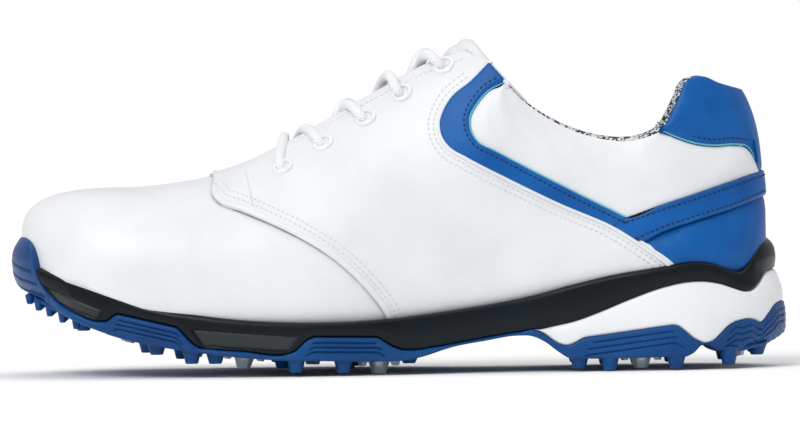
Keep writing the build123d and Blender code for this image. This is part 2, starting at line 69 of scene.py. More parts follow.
def add_node(tree, kind, settings=None, inputs=None):
    """One node. Settings are its properties; inputs are numbers, colours or sockets to link from."""
    node = tree.nodes.new(kind)
    for key, value in (settings or {}).items():
        setattr(node, key, value)
    for key, value in (inputs or {}).items():
        if isinstance(value, bpy.types.NodeSocket):
            tree.links.new(value, node.inputs[key])
        else:
            node.inputs[key].default_value = value
    return node


def new_material(name, **constants):
    """A material with one Principled shader, whose constants are set on its own sockets."""
    material = bpy.data.materials.new(name)
    material.use_nodes = True
    shader = material.node_tree.nodes["Principled BSDF"]
    for key, value in constants.items():
        shader.inputs[key.replace("_", " ")].default_value = value
    material.diffuse_color = shader.inputs["Base Color"].default_value
    return material, material.node_tree, shader


def tint(tree, shader, dark, light, amount, low=0.3, high=0.7):
    """Colour that wanders between two close tones."""
    ramp = add_node(tree, "ShaderNodeValToRGB", inputs={"Fac": amount})
    ramp.color_ramp.elements[0].position = low
    ramp.color_ramp.elements[0].color = linear(dark)
    ramp.color_ramp.elements[1].position = high
    ramp.color_ramp.elements[1].color = linear(light)
    tree.links.new(ramp.outputs["Color"], shader.inputs["Base Color"])


def emboss(tree, shader, height, depth, strength=1.0):
    """Bump of a real depth in metres."""
    bump = add_node(tree, "ShaderNodeBump",
                    inputs={"Height": height, "Distance": depth, "Strength": strength})
    tree.links.new(bump.outputs["Normal"], shader.inputs["Normal"])


# %% [markdown]
# The upper is coated leather: a split hide with a thin polyurethane skin. The skin gives a soft,
# broad highlight, and an embossed pebble grain about a millimetre across. A Voronoi pattern in
# real millimetres makes the pebbles and a slow noise makes the hide a little uneven.

# %% Coated leather
GRAIN_WIDTH = 0.9 * MM


def coated_leather(name, dark, light, roughness, grain_depth, shine=0.5):
    material, tree, shader = new_material(
        name, Base_Color=linear(light), Roughness=roughness, IOR=1.5, Specular_IOR_Level=shine)
    place = add_node(tree, "ShaderNodeTexCoord")
    pebbles = add_node(tree, "ShaderNodeTexVoronoi", {"feature": "SMOOTH_F1"},
                       {"Vector": place.outputs["Object"], "Scale": 1 / GRAIN_WIDTH, "Smoothness": 0.6})
    hide = add_node(tree, "ShaderNodeTexNoise", None,
                    {"Vector": place.outputs["Object"], "Scale": 38.0, "Detail": 4.0})
    creases = add_node(tree, "ShaderNodeTexNoise", None,
                       {"Vector": place.outputs["Object"], "Scale": 420.0, "Detail": 3.0})
    height = add_node(tree, "ShaderNodeMath", {"operation": "MULTIPLY_ADD"},
                      {0: creases.outputs["Fac"], 1: 0.6, 2: pebbles.outputs["Distance"]})
    tint(tree, shader, dark, light, hide.outputs["Fac"])
    emboss(tree, shader, height.outputs[0], grain_depth)
    return material


WHITE_LEATHER = coated_leather("white_coated_leather", "#DDDFE3", "#E6E8EB", 0.42, 0.05 * MM)
BLUE_LEATHER = coated_leather("blue_coated_leather", "#004A92", "#0B60AC", 0.42, 0.09 * MM, 0.22)
EDGE_PAINT = coated_leather("cyan_edge_paint", "#3C9DBA", "#63BBCD", 0.5, 0.02 * MM)
print("leathers:", WHITE_LEATHER.name, BLUE_LEATHER.name)

# %% [markdown]
# The sole has four materials. The outsole is injected TPU, satin blue with a very fine spark
# texture from the mould. The frame is a charcoal TPU with some panels moulded in grey. The wedge is
# white EVA foam, whose skin is faintly orange-peeled. The cleats are a glossy silver-grey TPU.

# %% Moulded sole materials


def moulded(name, dark, light, roughness, texture, depth, **extra):
    material, tree, shader = new_material(
        name, Base_Color=linear(light), Roughness=roughness, IOR=1.5, **extra)
    place = add_node(tree, "ShaderNodeTexCoord")
    flow = add_node(tree, "ShaderNodeTexNoise", None,
                    {"Vector": place.outputs["Object"], "Scale": 30.0, "Detail": 3.0})
    spark = add_node(tree, "ShaderNodeTexNoise", None,
                     {"Vector": place.outputs["Object"], "Scale": 1 / texture, "Detail": 2.0})
    tint(tree, shader, dark, light, flow.outputs["Fac"])
    emboss(tree, shader, spark.outputs["Fac"], depth)
    return material


BLUE_TPU = moulded("blue_moulded_tpu", "#003A72", "#054B88", 0.36, 0.7 * MM, 0.06 * MM,
                   Specular_IOR_Level=0.25)
CHARCOAL_TPU = moulded("charcoal_moulded_tpu", "#040B10", "#09151C", 0.3, 0.6 * MM, 0.03 * MM,
                       Specular_IOR_Level=0.22)
GREY_TPU = moulded("grey_moulded_tpu", "#1F2529", "#2E363A", 0.45, 0.5 * MM, 0.05 * MM,
                   Specular_IOR_Level=0.3)
WHITE_EVA = moulded("white_eva_foam", "#E4E6E9", "#ECEEF0", 0.5, 1.3 * MM, 0.05 * MM,
                    Subsurface_Weight=0.1, Subsurface_Radius=(0.004, 0.004, 0.004))
CLEAT_TPU = moulded("silver_grey_tpu", "#B4C2CA", "#DCE6EA", 0.16, 0.8 * MM, 0.02 * MM, Coat_Weight=0.5)

# %% [markdown]
# The lining is a woven textile: black and white yarns about a millimetre apart, so up close it is
# a salt-and-pepper check. A turned Voronoi pattern of yarn-sized cells picks a dark or light yarn
# for each cell. The laces are a white flat braid, whose V pattern follows the lace's own UV map, and whose colour
# darkens between the strands as painted shade in the grooves.

# %% Textiles
YARN = 0.75 * MM


def woven_lining():
    material, tree, shader = new_material(
        "woven_salt_and_pepper", Base_Color=linear("#5A6266"), Roughness=0.9, Sheen_Weight=0.3)
    place = add_node(tree, "ShaderNodeTexCoord")
    turned = add_node(tree, "ShaderNodeMapping", None, {"Vector": place.outputs["Object"]})
    turned.inputs["Rotation"].default_value = (0.5, 0.785, 0.3)
    check = add_node(tree, "ShaderNodeTexVoronoi", {"feature": "F1"},
                     {"Vector": turned.outputs["Vector"], "Scale": 1 / YARN, "Randomness": 0.55})
    speck = add_node(tree, "ShaderNodeSeparateColor", None, {"Color": check.outputs["Color"]})
    tint(tree, shader, "#0F1315", "#D5D9DB", speck.outputs["Red"], 0.50, 0.64)
    emboss(tree, shader, check.outputs["Distance"], 0.25 * MM)
    return material


def braided(name, dark, light, pitch=1.7 * MM, around=12.0):
    """Braid on a piece whose UV map holds metres along and turns around. Its colour darkens between the strands, as
    painted shade in the grooves.
    """
    material, tree, shader = new_material(name, Base_Color=linear(light), Roughness=0.75, Sheen_Weight=0.25)
    place = add_node(tree, "ShaderNodeUVMap", {"uv_map": "along_around"})
    split = add_node(tree, "ShaderNodeSeparateXYZ", None, {"Vector": place.outputs["UV"]})
    along = add_node(tree, "ShaderNodeMath", {"operation": "MULTIPLY"},
                     {0: split.outputs["X"], 1: 2 * math.pi / pitch})
    turn = add_node(tree, "ShaderNodeMath", {"operation": "MULTIPLY"},
                    {0: split.outputs["Y"], 1: 2 * math.pi * around / 2})
    waves = []
    for sign in ("ADD", "SUBTRACT"):
        angle = add_node(tree, "ShaderNodeMath", {"operation": sign},
                         {0: along.outputs[0], 1: turn.outputs[0]})
        waves.append(add_node(tree, "ShaderNodeMath", {"operation": "SINE"}, {0: angle.outputs[0]}))
    strands = add_node(tree, "ShaderNodeMath", {"operation": "MAXIMUM"},
                       {0: waves[0].outputs[0], 1: waves[1].outputs[0]})
    # Painted shade: the colour follows the strands' height, darker in the grooves between them.
    painted_groove_shade = add_node(tree, "ShaderNodeMapRange", None,
                    {"Value": strands.outputs[0], "From Min": -1.0, "From Max": 1.0})
    tint(tree, shader, dark, light, painted_groove_shade.outputs[0], 0.1, 0.8)
    emboss(tree, shader, strands.outputs[0], 0.04 * MM)
    return material


WOVEN_LINING = woven_lining()
# The darker of the two tones is painted shade in the grooves between the braid's strands.
LACE_BRAID = braided("white_lace_braid", "#DCDFE3", "#E9EBEE")
WHITE_THREAD = moulded("white_bonded_thread", "#C9CBCC", "#E4E4E0", 0.6, 0.4 * MM, 0.03 * MM)
NAVY_THREAD = moulded("navy_bonded_thread", "#020A20", "#061637", 0.6, 0.4 * MM, 0.03 * MM)
ENAMEL = moulded("white_enamelled_brass", "#E4E6E9", "#F0F1F3", 0.16, 3.0 * MM, 0.02 * MM, Coat_Weight=0.6)
FOOTBED_CLOTH = moulded("grey_footbed_cloth", "#7C8388", "#A9AFB3", 0.9, 0.6 * MM, 0.15 * MM)

# %% [markdown]
# A shoe is built round a last, and so is this model. One function gives any point of the last's
# surface from a place along the shoe and an angle round it. Every leather panel, seam and stitch
# is drawn on that surface, so they all fit each other without any trimming. The rows are the
# last's cross-sections in millimetres: place, bottom, widest height, top, outer and inner width,
# roundness of the top and taper.

# %% The last
LAST = np.array([
    (-100, 18.5, 37, 72.4, -48.6, 49.6, 2.3, 0.0),
    (-80, 14.5, 35, 74.8, -49.8, 50.2, 2.2, 0.0),
    (-58, 12.3, 35, 81.0, -51.5, 50.5, 2.0, 0.0),
    (-35, 11.5, 36, 93.3, -51.0, 48.0, 1.8, 0.0),
    (-10, 11.8, 38, 109.0, -47.5, 42.0, 1.7, 0.0),
    (10, 14.5, 40, 121.4, -42.5, 36.0, 1.75, 0.0),
    (28, 17.5, 42, 128.0, -39.0, 32.5, 2.1, 0.0),
    (48, 21.0, 44, 136.0, -36.5, 31.0, 3.5, 0.2),
    (70, 26.0, 46, 140.0, -36.0, 32.0, 5.0, 0.33),
    (95, 31.0, 47, 140.0, -36.5, 33.5, 5.0, 0.36),
], float)
BACK_CURVE = np.array([(28, 138.5), (38, 141.0), (50, 142.2), (66, 141.4), (77, 140.0), (91, 137.3),
                       (104, 133.8), (113, 131.5)], float)
TOE_POINT = (-146.3, 5.5, 51.0)
TOE_START = -100.0
TOE_NARROWS = -78.0
HEEL_START = 95.0
HEEL_TURN = 46.8
HEEL_ROUND = 2.25


def smooth(table, x):
    """Values on a smooth curve through the rows of a table whose first column is x."""
    places = table[:, 0]
    x = np.clip(np.asarray(x, float), places[0], places[-1])
    i = np.clip(np.searchsorted(places, x, side="right") - 1, 0, len(places) - 2)
    slopes = np.gradient(table, places, axis=0)
    span = (places[i + 1] - places[i])[..., None]
    t = (x - places[i])[..., None] / span
    value = ((2 * t**3 - 3 * t**2 + 1) * table[i] + (3 * t**2 - 2 * t**3) * table[i + 1]
             + ((t**3 - 2 * t**2 + t) * slopes[i] + (t**3 - t**2) * slopes[i + 1]) * span)
    return value[..., 1:]


def section(u):
    """The last's cross-section at each place, with the toe rounded off to a point."""
    rows = smooth(LAST, np.clip(u, TOE_START, HEEL_START))
    low, wide, top, outer, inner, roundness, taper = np.moveaxis(rows, -1, 0)
    width_rows = smooth(LAST, np.clip(u, TOE_NARROWS, HEEL_START))
    outer, inner = width_rows[..., 3], width_rows[..., 4]
    forward = np.clip((TOE_START - u) / (TOE_START - TOE_POINT[0]), 0, 1)
    narrow = np.clip((TOE_NARROWS - u) / (TOE_NARROWS - TOE_POINT[0]), 0, 1)
    height_left = (1 - forward**3.2) ** (1 / 3.2)
    width_left = (1 - narrow**2.4) ** (1 / 2.4)
    centre = (outer + inner) / 2 * (1 - narrow**2) + TOE_POINT[1] * narrow**2
    half = (inner - outer) / 2 * width_left
    low, wide, top = [TOE_POINT[2] + (value - TOE_POINT[2]) * height_left for value in (low, wide, top)]
    return low, wide, top, centre, half, roundness, taper


def upper_point(u, angle, out=0.0):
    """Point of the upper in mm. The angle is -80 at the bottom, 0 at the widest, 90 on the ridge
    and 260 at the bottom of the inner side. Past HEEL_START the place turns round the heel."""
    u, angle, out = np.broadcast_arrays(np.asarray(u, float), np.asarray(angle, float), out)
    low, wide, top, centre, half, roundness, taper = section(u)
    up = np.sin(np.radians(angle))
    across = -np.cos(np.radians(angle))
    power = np.where(up > 0, 2 / roundness, 0.5)
    rise = np.abs(up) ** power
    z = wide + np.where(up > 0, (top + out - wide) * rise, -(wide - low) * rise)
    width = (half + out) * np.where(up > 0, 1 - taper * rise, 1) * np.abs(across) ** power
    turn = np.clip((u - HEEL_START) / HEEL_TURN, 0, 1)
    theta = (1 - turn) * math.pi / 2
    reach = smooth(BACK_CURVE, z)[..., 0] - HEEL_START + out
    x = np.where(turn > 0, HEEL_START + reach * np.cos(theta) ** (2 / HEEL_ROUND), u)
    y = centre + np.sign(across) * width * np.where(turn > 0, np.sin(theta) ** (2 / HEEL_ROUND), 1)
    return np.stack([x, y, z], -1)


def on_side(points):
    """Side-view (x, z) points as (place, angle) on the outer side of the last."""
    points = np.asarray(points, float)
    x, z = points[..., 0], points[..., 1]
    reach = smooth(BACK_CURVE, z)[..., 0] - HEEL_START
    share = np.clip((x - HEEL_START) / reach, 0, 1)
    turned = 1 - np.arccos(share ** (HEEL_ROUND / 2)) / (math.pi / 2)
    u = np.where(x > HEEL_START, HEEL_START + HEEL_TURN * turned, x)
    return at_height(u, z)


def at_height(u, z):
    """(place, angle) of the outer side's surface at a height."""
    low, wide, top, _, _, roundness, _ = section(u)
    above = np.clip((z - wide) / (top - wide), 0, 1) ** (roundness / 2)
    below = np.clip((wide - z) / (wide - low), 0, 1) ** 2
    return np.stack([u, np.degrees(np.where(z > wide, np.arcsin(above), -np.arcsin(below)))], -1)


def mirrored(pairs, inner_side):
    """The same (place, angle) pairs on the inner side."""
    pairs = np.array(pairs, float)
    if inner_side:
        pairs[..., 1] = 180 - pairs[..., 1]
    return pairs


def resample(points, count):
    """Points at even spacing on a smooth curve through the given ones."""
    points = np.asarray(points, float)
    steps = np.r_[0, np.cumsum(np.linalg.norm(np.diff(points, axis=0), axis=1))]
    table = np.column_stack([steps, points])
    fine = smooth(table, np.linspace(0, steps[-1], 20 * count))
    run = np.r_[0, np.cumsum(np.linalg.norm(np.diff(fine, axis=0), axis=1))]
    wanted = np.linspace(0, run[-1], count)
    return np.column_stack([np.interp(wanted, run, column) for column in fine.T])


print("toe", upper_point(-140, 90).round(1), "heel", upper_point(141.8, 10).round(1))

# %% [markdown]
# Every piece is a grid of points turned into a mesh, so one function does that: it takes the grid,
# says which way it closes, and gives it a UV map of real metres. A second one builds a leather panel
# on the last. The panel's edges roll down to the layer below within a millimetre, as a folded
# or skived edge does, and Solidify closes its back.

# %% Mesh and panel builders


def finish_piece(piece, material, body="shoe", stands_for=()):
    """Material, shading, and the body that the piece rides on. A piece given no body rides on none."""
    piece.data.materials.clear()
    piece.data.materials.append(material)
    piece.data.shade_smooth()
    if body:
        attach(piece, body)
    if stands_for:
        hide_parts(*stands_for)
    return piece


def mesh_object(name, vertices, faces):
    mesh = bpy.data.meshes.new(name)
    mesh.from_pydata((np.asarray(vertices) * MM).tolist(), [], [list(face) for face in faces])
    mesh.validate()
    piece = bpy.data.objects.new(name, mesh)
    bpy.context.scene.collection.objects.link(piece)
    return piece


def grid_faces(rows, columns, close_rows=False, close_columns=False):
    index = np.arange(rows * columns).reshape(rows, columns)
    if close_rows:
        index = np.vstack([index, index[:1]])
    if close_columns:
        index = np.hstack([index, index[:, :1]])
    return np.stack([index[:-1, :-1], index[:-1, 1:], index[1:, 1:], index[1:, :-1]], -1).reshape(-1, 4)


def grid_object(name, points, flip=False, close_rows=False, close_columns=False):
    rows, columns = points.shape[:2]
    faces = grid_faces(rows, columns, close_rows, close_columns)
    return mesh_object(name, points.reshape(-1, 3), faces[:, ::-1] if flip else faces)


def faces_inward(points):
    """True when a grid's faces look at the inside of the shoe, judged at its middle."""
    row, column = points.shape[0] // 2, points.shape[1] // 2
    here = points[row, column]
    normal = np.cross(points[row, column + 1] - here, points[row + 1, column] - here)
    inside_shoe = np.array([min(here[0], 95.0), -2.0, 45.0])
    return bool(np.dot(normal, here - inside_shoe) < 0)


def thicken(piece, thickness):
    """A closed back behind an open sheet."""
    solid = piece.modifiers.new("thickness", "SOLIDIFY")
    solid.thickness = thickness * MM
    solid.offset = -1.0
    solid.use_even_offset = False
    return piece


EDGE_ROLL = np.array([0.0, 0.18, 0.45, 0.85, 1.5])


def panel_rows(width, inner_rows):
    """Distances across a panel: close together at both edges, even in between."""
    roll = np.minimum(EDGE_ROLL, width * 0.12)
    middle = np.linspace(roll[-1], width - roll[-1], inner_rows + 2)[1:-1]
    return np.r_[roll, middle, width - roll[::-1]]


def panel(name, low, high, height, inner_side=False, rows=14, puff=0.0, base=0.0,
          wrinkle=0.0, free_edges=(True, True), thickness=1.2):
    """A leather panel between two curves of (place, angle), standing height mm off the last."""
    columns = []
    for start, end in zip(low, high):
        reach = np.linalg.norm(upper_point(*start) - upper_point(*end)) + 1e-6
        distance = panel_rows(reach, rows)
        share = (distance / reach)[:, None]
        heights = upper_point(*np.stack([start, end]).T)[:, 2]
        place = start[0] * (1 - share[:, 0]) + end[0] * share[:, 0]
        pairs = at_height(place, heights[0] * (1 - share[:, 0]) + heights[1] * share[:, 0])
        pairs = mirrored(pairs, inner_side)
        from_low = np.where(free_edges[0], np.clip(distance / 1.3, 0, 1), 1)
        from_high = np.where(free_edges[1], np.clip((reach - distance) / 1.3, 0, 1), 1)
        lift = height * (1 - (1 - np.minimum(from_low, from_high)) ** 2) ** 0.5
        lift = lift + puff * np.sin(np.pi * share[:, 0]) ** 0.7
        if wrinkle:
            across = np.sin(pairs[:, 0] * 0.33 + 2.2 * share[:, 0])
            wave = across * np.sin(3.1 * share[:, 0] * np.pi + start[0] * 0.09)
            lift = lift + wrinkle * wave * np.sin(np.pi * share[:, 0])
        columns.append(upper_point(pairs[:, 0], pairs[:, 1], base + lift))
    points = np.stack(columns, 1)
    return thicken(grid_object(name, points, flip=faces_inward(points)), thickness)


def side_curve(points, count=90):
    """A side-view outline as (place, angle) pairs on the last."""
    return on_side(resample(points, count))


# %% [markdown]
# The vamp is the white front of the shoe. It is one skin that runs from the sole on one side, over
# the toe, to the sole on the other. Under the saddle it drops by a leather's thickness, so the
# saddle can lie on it, as on the real shoe where the two are lap-seamed.

# %% Outlines of the upper
FEATHER = np.array([(-146.3, 44), (-138.7, 40.5), (-119, 34), (-98, 26.5), (-73.4, 21.8), (-32, 19),
                    (-4.8, 19.8),
                    (17.6, 22.2), (37.7, 25), (52.8, 28), (66.4, 31.6), (81.8, 35), (99.7, 38), (114.8, 40),
                    (128.6, 37), (134, 37), (139, 42), (142.5, 45)], float)
SADDLE_SEAM = [(-71.4, 72.6), (-71.0, 69.2), (-68.5, 66.2), (-60.4, 63.2), (-48.5, 58.2), (-36.7, 52.4),
               (-24.9, 44.9), (-16.0, 37.0), (-10.2, 30.3), (-5.4, 23.3), (-4.0, 18.5)]
COLLAR_EDGE = [(27.9, 124.9), (35.8, 118.1), (42.2, 111.1), (49.5, 103.4), (57.4, 97.7), (68.3, 92.1),
               (79.1, 88.9), (89.5, 88.0), (97.9, 89.9), (101.8, 92.2), (105.3, 97.7), (108.7, 104.5),
               (111.6, 110.4), (116.6, 112.0), (123.5, 109.4), (132.3, 106.8)]
HOOK_OUTER = [(35.7, 117.5), (28.4, 110.4), (21.4, 104.9), (18, 99.8), (16.4, 94.8), (17.2, 89.8),
              (20.1, 85.7),
              (26.1, 82.1), (43.4, 73.1), (62.7, 63.7), (82.4, 55.1), (93.6, 48.0), (101.7, 42.1),
              (106, 38)]
HOOK_INNER = [(42.0, 110.6), (35.3, 107.2), (31.1, 102.7), (28, 96.9), (28.4, 91.9), (31.5, 87.2),
              (36.9, 84.4),
              (51.9, 76.5), (68.1, 68.1), (87.5, 58.5)]
COUNTER_TOP = [(87.5, 58.5), (101.7, 63.3), (112.5, 66.6), (127.6, 71.4), (140.7, 75.4)]
COUNTER_SEAM = [(92.6, 49.0), (101.7, 52.9), (115.3, 57.3), (127.6, 60.9), (140.9, 65.6)]
COLLAR_BACK_LOW = [(101.4, 91.5), (107.5, 88.7), (114.5, 86.3), (120.7, 85.4), (130.0, 85.6), (133.6, 85.0),
                   (136.0, 82.6), (137.2, 79.3), (138.0, 75.5)]
THROAT_START = -48.5
THROAT_END = 25.5


def seam_place(z):
    """Place of the saddle seam at a height."""
    seam = np.array(SADDLE_SEAM[::-1])
    return np.interp(z, seam[:, 1], seam[:, 0])


def build_vamp():
    u = np.r_[TOE_POINT[0] + 75 * (1 - np.cos(np.linspace(0.02, math.pi / 2, 70))), np.linspace(-70, -1, 60)]
    bottom = on_side(np.column_stack([u, np.interp(u, FEATHER[:, 0], FEATHER[:, 1])]))[:, 1]
    share = np.linspace(0, 1, 121)
    angle = bottom[:, None] * (1 - share) + (180 - bottom[:, None]) * share
    place = np.repeat(u[:, None], len(share), 1)
    z = upper_point(place, angle)[..., 2]
    under = np.clip((place - seam_place(z) + 1.5) / 3.0, 0, 1)
    crease = np.exp(-((place + 78) / 9) ** 2) * np.sin(place * 0.45 + angle * 0.02) * 0.22
    points = upper_point(place, angle, -1.5 * under + crease * np.sin(np.radians(np.clip(angle, 0, 180))))
    throat = place > THROAT_START + 1
    gap = 1.0 * throat * np.clip((14 - np.abs(angle - 90)) / 14, 0, 1)
    points[..., 2] -= 4 * gap
    piece = grid_object("vamp_skin", points, flip=True)
    open_throat(piece)
    return finish_piece(thicken(piece, 1.6), WHITE_LEATHER, stands_for=["vamp"])


def throat_half(x):
    """Half the width of the gap between the eyelet rows."""
    return np.interp(x, [THROAT_START, THROAT_START + 5, 10, THROAT_END], [2.5, 6.5, 9.5, 11.0])


def open_throat(piece):
    """Takes away the faces between the eyelet rows."""
    mesh = piece.data
    work = bmesh.new()
    work.from_mesh(mesh)
    doomed = []
    for face in work.faces:
        centre = face.calc_center_median() / MM
        if centre.x > THROAT_START and centre.z > 60:
            middle = section(np.array([centre.x]))[3][0]
            if abs(centre.y - middle) < throat_half(centre.x) + 3:
                doomed.append(face)
    bmesh.ops.delete(work, geom=doomed, context="FACES")
    work.to_mesh(mesh)
    work.free()


vamp = build_vamp()
print("vamp faces", len(vamp.data.polygons))

# %% [markdown]
# The saddle, or quarter, carries the eyelets. Its front edge is folded and lies over the vamp; its
# top edge follows the throat and then the collar. Both sides come from the same outlines, mirrored.

# %% Quarters


def throat_edge(count):
    """(place, angle) along the throat's edge, from its foot to the top eyelet."""
    u = np.linspace(THROAT_START, THROAT_END, count)
    _, _, _, _, half, roundness, _ = section(u)
    ratio = np.clip(throat_half(u) / half, 0, 1)
    across = ratio ** (roundness / 2)
    return np.column_stack([u, np.degrees(np.arccos(across))])


def quarter_curves():
    """The quarter's front edge, up the seam and along the throat, and its hidden edge, along the
    sole and up under the hook, matched so that the lines between them stay on the quarter."""
    seam = side_curve(SADDLE_SEAM, 60)[::-1]
    rise = np.column_stack([np.full(10, -71.4), np.linspace(seam[-1, 1], 91.5, 10)])
    along_ridge = np.column_stack([np.linspace(-71.4, THROAT_START - 1.5, 12), np.full(12, 91.5)])
    bottom_x = np.linspace(-3.5, 107, 60)
    bottom = on_side(np.column_stack([bottom_x, np.interp(bottom_x, FEATHER[:, 0], FEATHER[:, 1]) - 0.5]))
    under_hook = [(x + 1.5, z + 0.8) for x, z in HOOK_OUTER[::-1]]
    parts = [(np.vstack([seam, rise[1:]]), np.vstack([bottom, side_curve(under_hook[:9], 40)])),
             (np.vstack([along_ridge, throat_edge(50)]), side_curve(under_hook[8:], 30))]
    return [np.vstack([resample_like(parts[0][k], 100), resample_like(parts[1][k], 80)[1:]]) for k in (0, 1)]


def resample_like(pairs, count):
    run = np.r_[0, np.cumsum(np.linalg.norm(np.diff(upper_point(pairs[:, 0], pairs[:, 1]), axis=0), axis=1))]
    wanted = np.linspace(0, run[-1], count)
    return np.column_stack([np.interp(wanted, run, column) for column in pairs.T])


front_curve, hidden_curve = quarter_curves()
for side, inner in (("lateral", False), ("medial", True)):
    quarter = panel(f"{side}_saddle_quarter", hidden_curve, front_curve, 1.4, inner, rows=60,
                    base=-0.2, free_edges=(False, True), thickness=1.4)
    finish_piece(quarter, WHITE_LEATHER, stands_for=[f"{side}_quarter", f"{side}_throat_patch"])

# %% [markdown]
# The blue hook is a second overlay on the saddle. It starts at the collar, turns round the front of
# the ankle panel and runs back to the heel. Inside it the ankle panel is white leather over foam,
# so it swells a little between its seams. The collar back and the heel pieces go round the heel.

# %% Overlays


def around_heel(outer_pairs):
    """A curve on the outer side, carried round the heel to the same place on the inner side."""
    back = outer_pairs.copy()[::-1]
    back[:, 0] = 2 * (HEEL_START + HEEL_TURN) - back[:, 0]
    return np.vstack([outer_pairs, back[1:]])


def heel_point(u, angle, out=0.0):
    """upper_point for places that go on past the middle of the heel to the inner side."""
    middle = HEEL_START + HEEL_TURN
    over = np.asarray(u) > middle
    return upper_point(np.where(over, 2 * middle - u, u), np.where(over, 180 - angle, angle), out)


def heel_panel(name, low, high, height, rows=10, puff=0.0, base=0.0, thickness=1.2):
    """A panel that wraps round the heel from the outer side to the inner side."""
    low, high = around_heel(low), around_heel(high)
    columns = []
    for start, end in zip(low, high):
        reach = np.linalg.norm(heel_point(*start) - heel_point(*end)) + 1e-6
        distance = panel_rows(reach, rows)
        share = (distance / reach)[:, None]
        pairs = start * (1 - share) + end * share
        edge = np.clip(np.minimum(distance, reach - distance) / 1.3, 0, 1)
        lift = height * (1 - (1 - edge) ** 2) ** 0.5 + puff * np.sin(np.pi * share[:, 0]) ** 0.7
        columns.append(heel_point(pairs[:, 0], pairs[:, 1], base + lift))
    points = np.stack(columns, 1)
    return thicken(grid_object(name, points, flip=faces_inward(points)), thickness)


hook_low = side_curve(HOOK_OUTER[:11], 110)
hook_high = side_curve(HOOK_INNER, 110)
ankle_low = np.vstack([side_curve([(43.5, 109.0)] + HOOK_INNER[1:], 80),
                       side_curve(COUNTER_TOP[:-1] + [(138.0, 74.5)], 50)[1:]])
ankle_high = np.vstack([side_curve(COLLAR_EDGE[2:9] + [(101.4, 91.5)], 70),
                        side_curve(COLLAR_BACK_LOW, 60)[1:]])
ankle_low, ankle_high = resample_like(ankle_low, 120), resample_like(ankle_high, 120)
for side, inner in (("lateral", False), ("medial", True)):
    ankle = panel(f"{side}_padded_ankle", ankle_low, ankle_high, 0.5, inner, rows=20, base=0.0,
                  puff=1.6, wrinkle=0.35, free_edges=(False, True), thickness=1.5)
    finish_piece(ankle, WHITE_LEATHER, stands_for=[f"{side}_ankle_panel"])
    hook = panel(f"{side}_blue_hook", hook_low, hook_high, 1.3, inner, rows=9, base=1.0)
    finish_piece(hook, BLUE_LEATHER, stands_for=[f"{side}_hook_panel"])

strap = heel_panel("heel_strap", side_curve([(82.4, 55.1), (92.6, 49.0)] + COUNTER_SEAM[1:], 60),
                   side_curve([(84.4, 59.4)] + COUNTER_TOP, 60), 1.2, base=0.8)
finish_piece(strap, BLUE_LEATHER, stands_for=["heel_strap_panel"])
counter_low = [(104.5, 39.2), (108, 38), (116, 38.5), (128, 36), (140.8, 40)]
counter = heel_panel("heel_counter", side_curve(counter_low, 60),
                     side_curve([(91.5, 49.6)] + [(x, z + 0.8) for x, z in COUNTER_SEAM[1:]], 60),
                     1.0, rows=14, base=0.0)
finish_piece(counter, BLUE_LEATHER, stands_for=["heel_counter_panel"])
back_low = side_curve(COLLAR_BACK_LOW + [(139.4, 74.7), (140.9, 74.9)], 90)
back_high = side_curve([(100.6, 91.4)] + COLLAR_EDGE[9:], 90)
collar_back = heel_panel("collar_back", back_low, back_high, 0.8, rows=14, puff=1.6, base=0.4)
finish_piece(collar_back, BLUE_LEATHER, stands_for=["collar_back_panel"])
print("overlays made")


# %% [markdown]
# Seen from above, every layer of the sole has the same outline. It is one closed smooth curve
# through a few widths, and the layers are bands of wall along it. Where a band starts and ends is
# read from side-view curves, so the waves of blue, charcoal and white meet exactly.

# %% Plan of the sole
PLAN_WIDTHS = np.array([(-147, -15, 25), (-140, -27, 34.5), (-125, -38, 44), (-105, -45.5, 50),
                        (-80, -51, 53.5),
                        (-55, -53.7, 54), (-35, -54, 52), (-10, -51, 46), (15, -45.5, 37.5),
                        (35, -41.5, 34),
                        (55, -40, 33.5), (80, -40, 35), (100, -40, 36.5), (120, -37, 34), (135, -29.5, 26),
                        (145, -18, 14)], float)


def plan_loop(count=1100):
    """Points and outward normals round the outline, from the toe's tip along the outer side."""
    corners = np.vstack([[(-150, 6)], PLAN_WIDTHS[:, :2], [(150, -2)], PLAN_WIDTHS[::-1][:, [0, 2]]])
    looped = np.vstack([corners[-3:], corners, corners[:4]])
    steps = np.r_[0, np.cumsum(np.linalg.norm(np.diff(looped, axis=0), axis=1))]
    start, end = steps[3], steps[3 + len(corners)]
    fine = smooth(np.column_stack([steps, looped]), np.linspace(start, end, 8000))
    run = np.r_[0, np.cumsum(np.linalg.norm(np.diff(fine, axis=0), axis=1))]
    wanted = np.linspace(0, run[-1], count, endpoint=False)
    points = np.column_stack([np.interp(wanted, run, column) for column in fine.T])
    tangent = np.roll(points, -1, 0) - np.roll(points, 1, 0)
    normal = np.column_stack([tangent[:, 1], -tangent[:, 0]])
    normal /= np.linalg.norm(normal, axis=1)[:, None]
    if np.mean(np.sum(normal * (points - points.mean(0)), 1)) < 0:
        normal = -normal
    return points, normal


PLAN, PLAN_NORMAL = plan_loop()
PLAN_STEP = np.linalg.norm(PLAN[1] - PLAN[0])
print(f"outline {PLAN_STEP * len(PLAN):.0f} mm round, {np.ptp(PLAN[:, 0]):.0f} x {np.ptp(PLAN[:, 1]):.0f} mm")

# %% [markdown]
# These curves are the sole's side view in millimetres: the top of the charcoal frame, the top of the
# blue outsole with its two raised windows, both sides of the white wedge, and the blue bottom edge
# with the step of the heel and the pinch between its two pads.

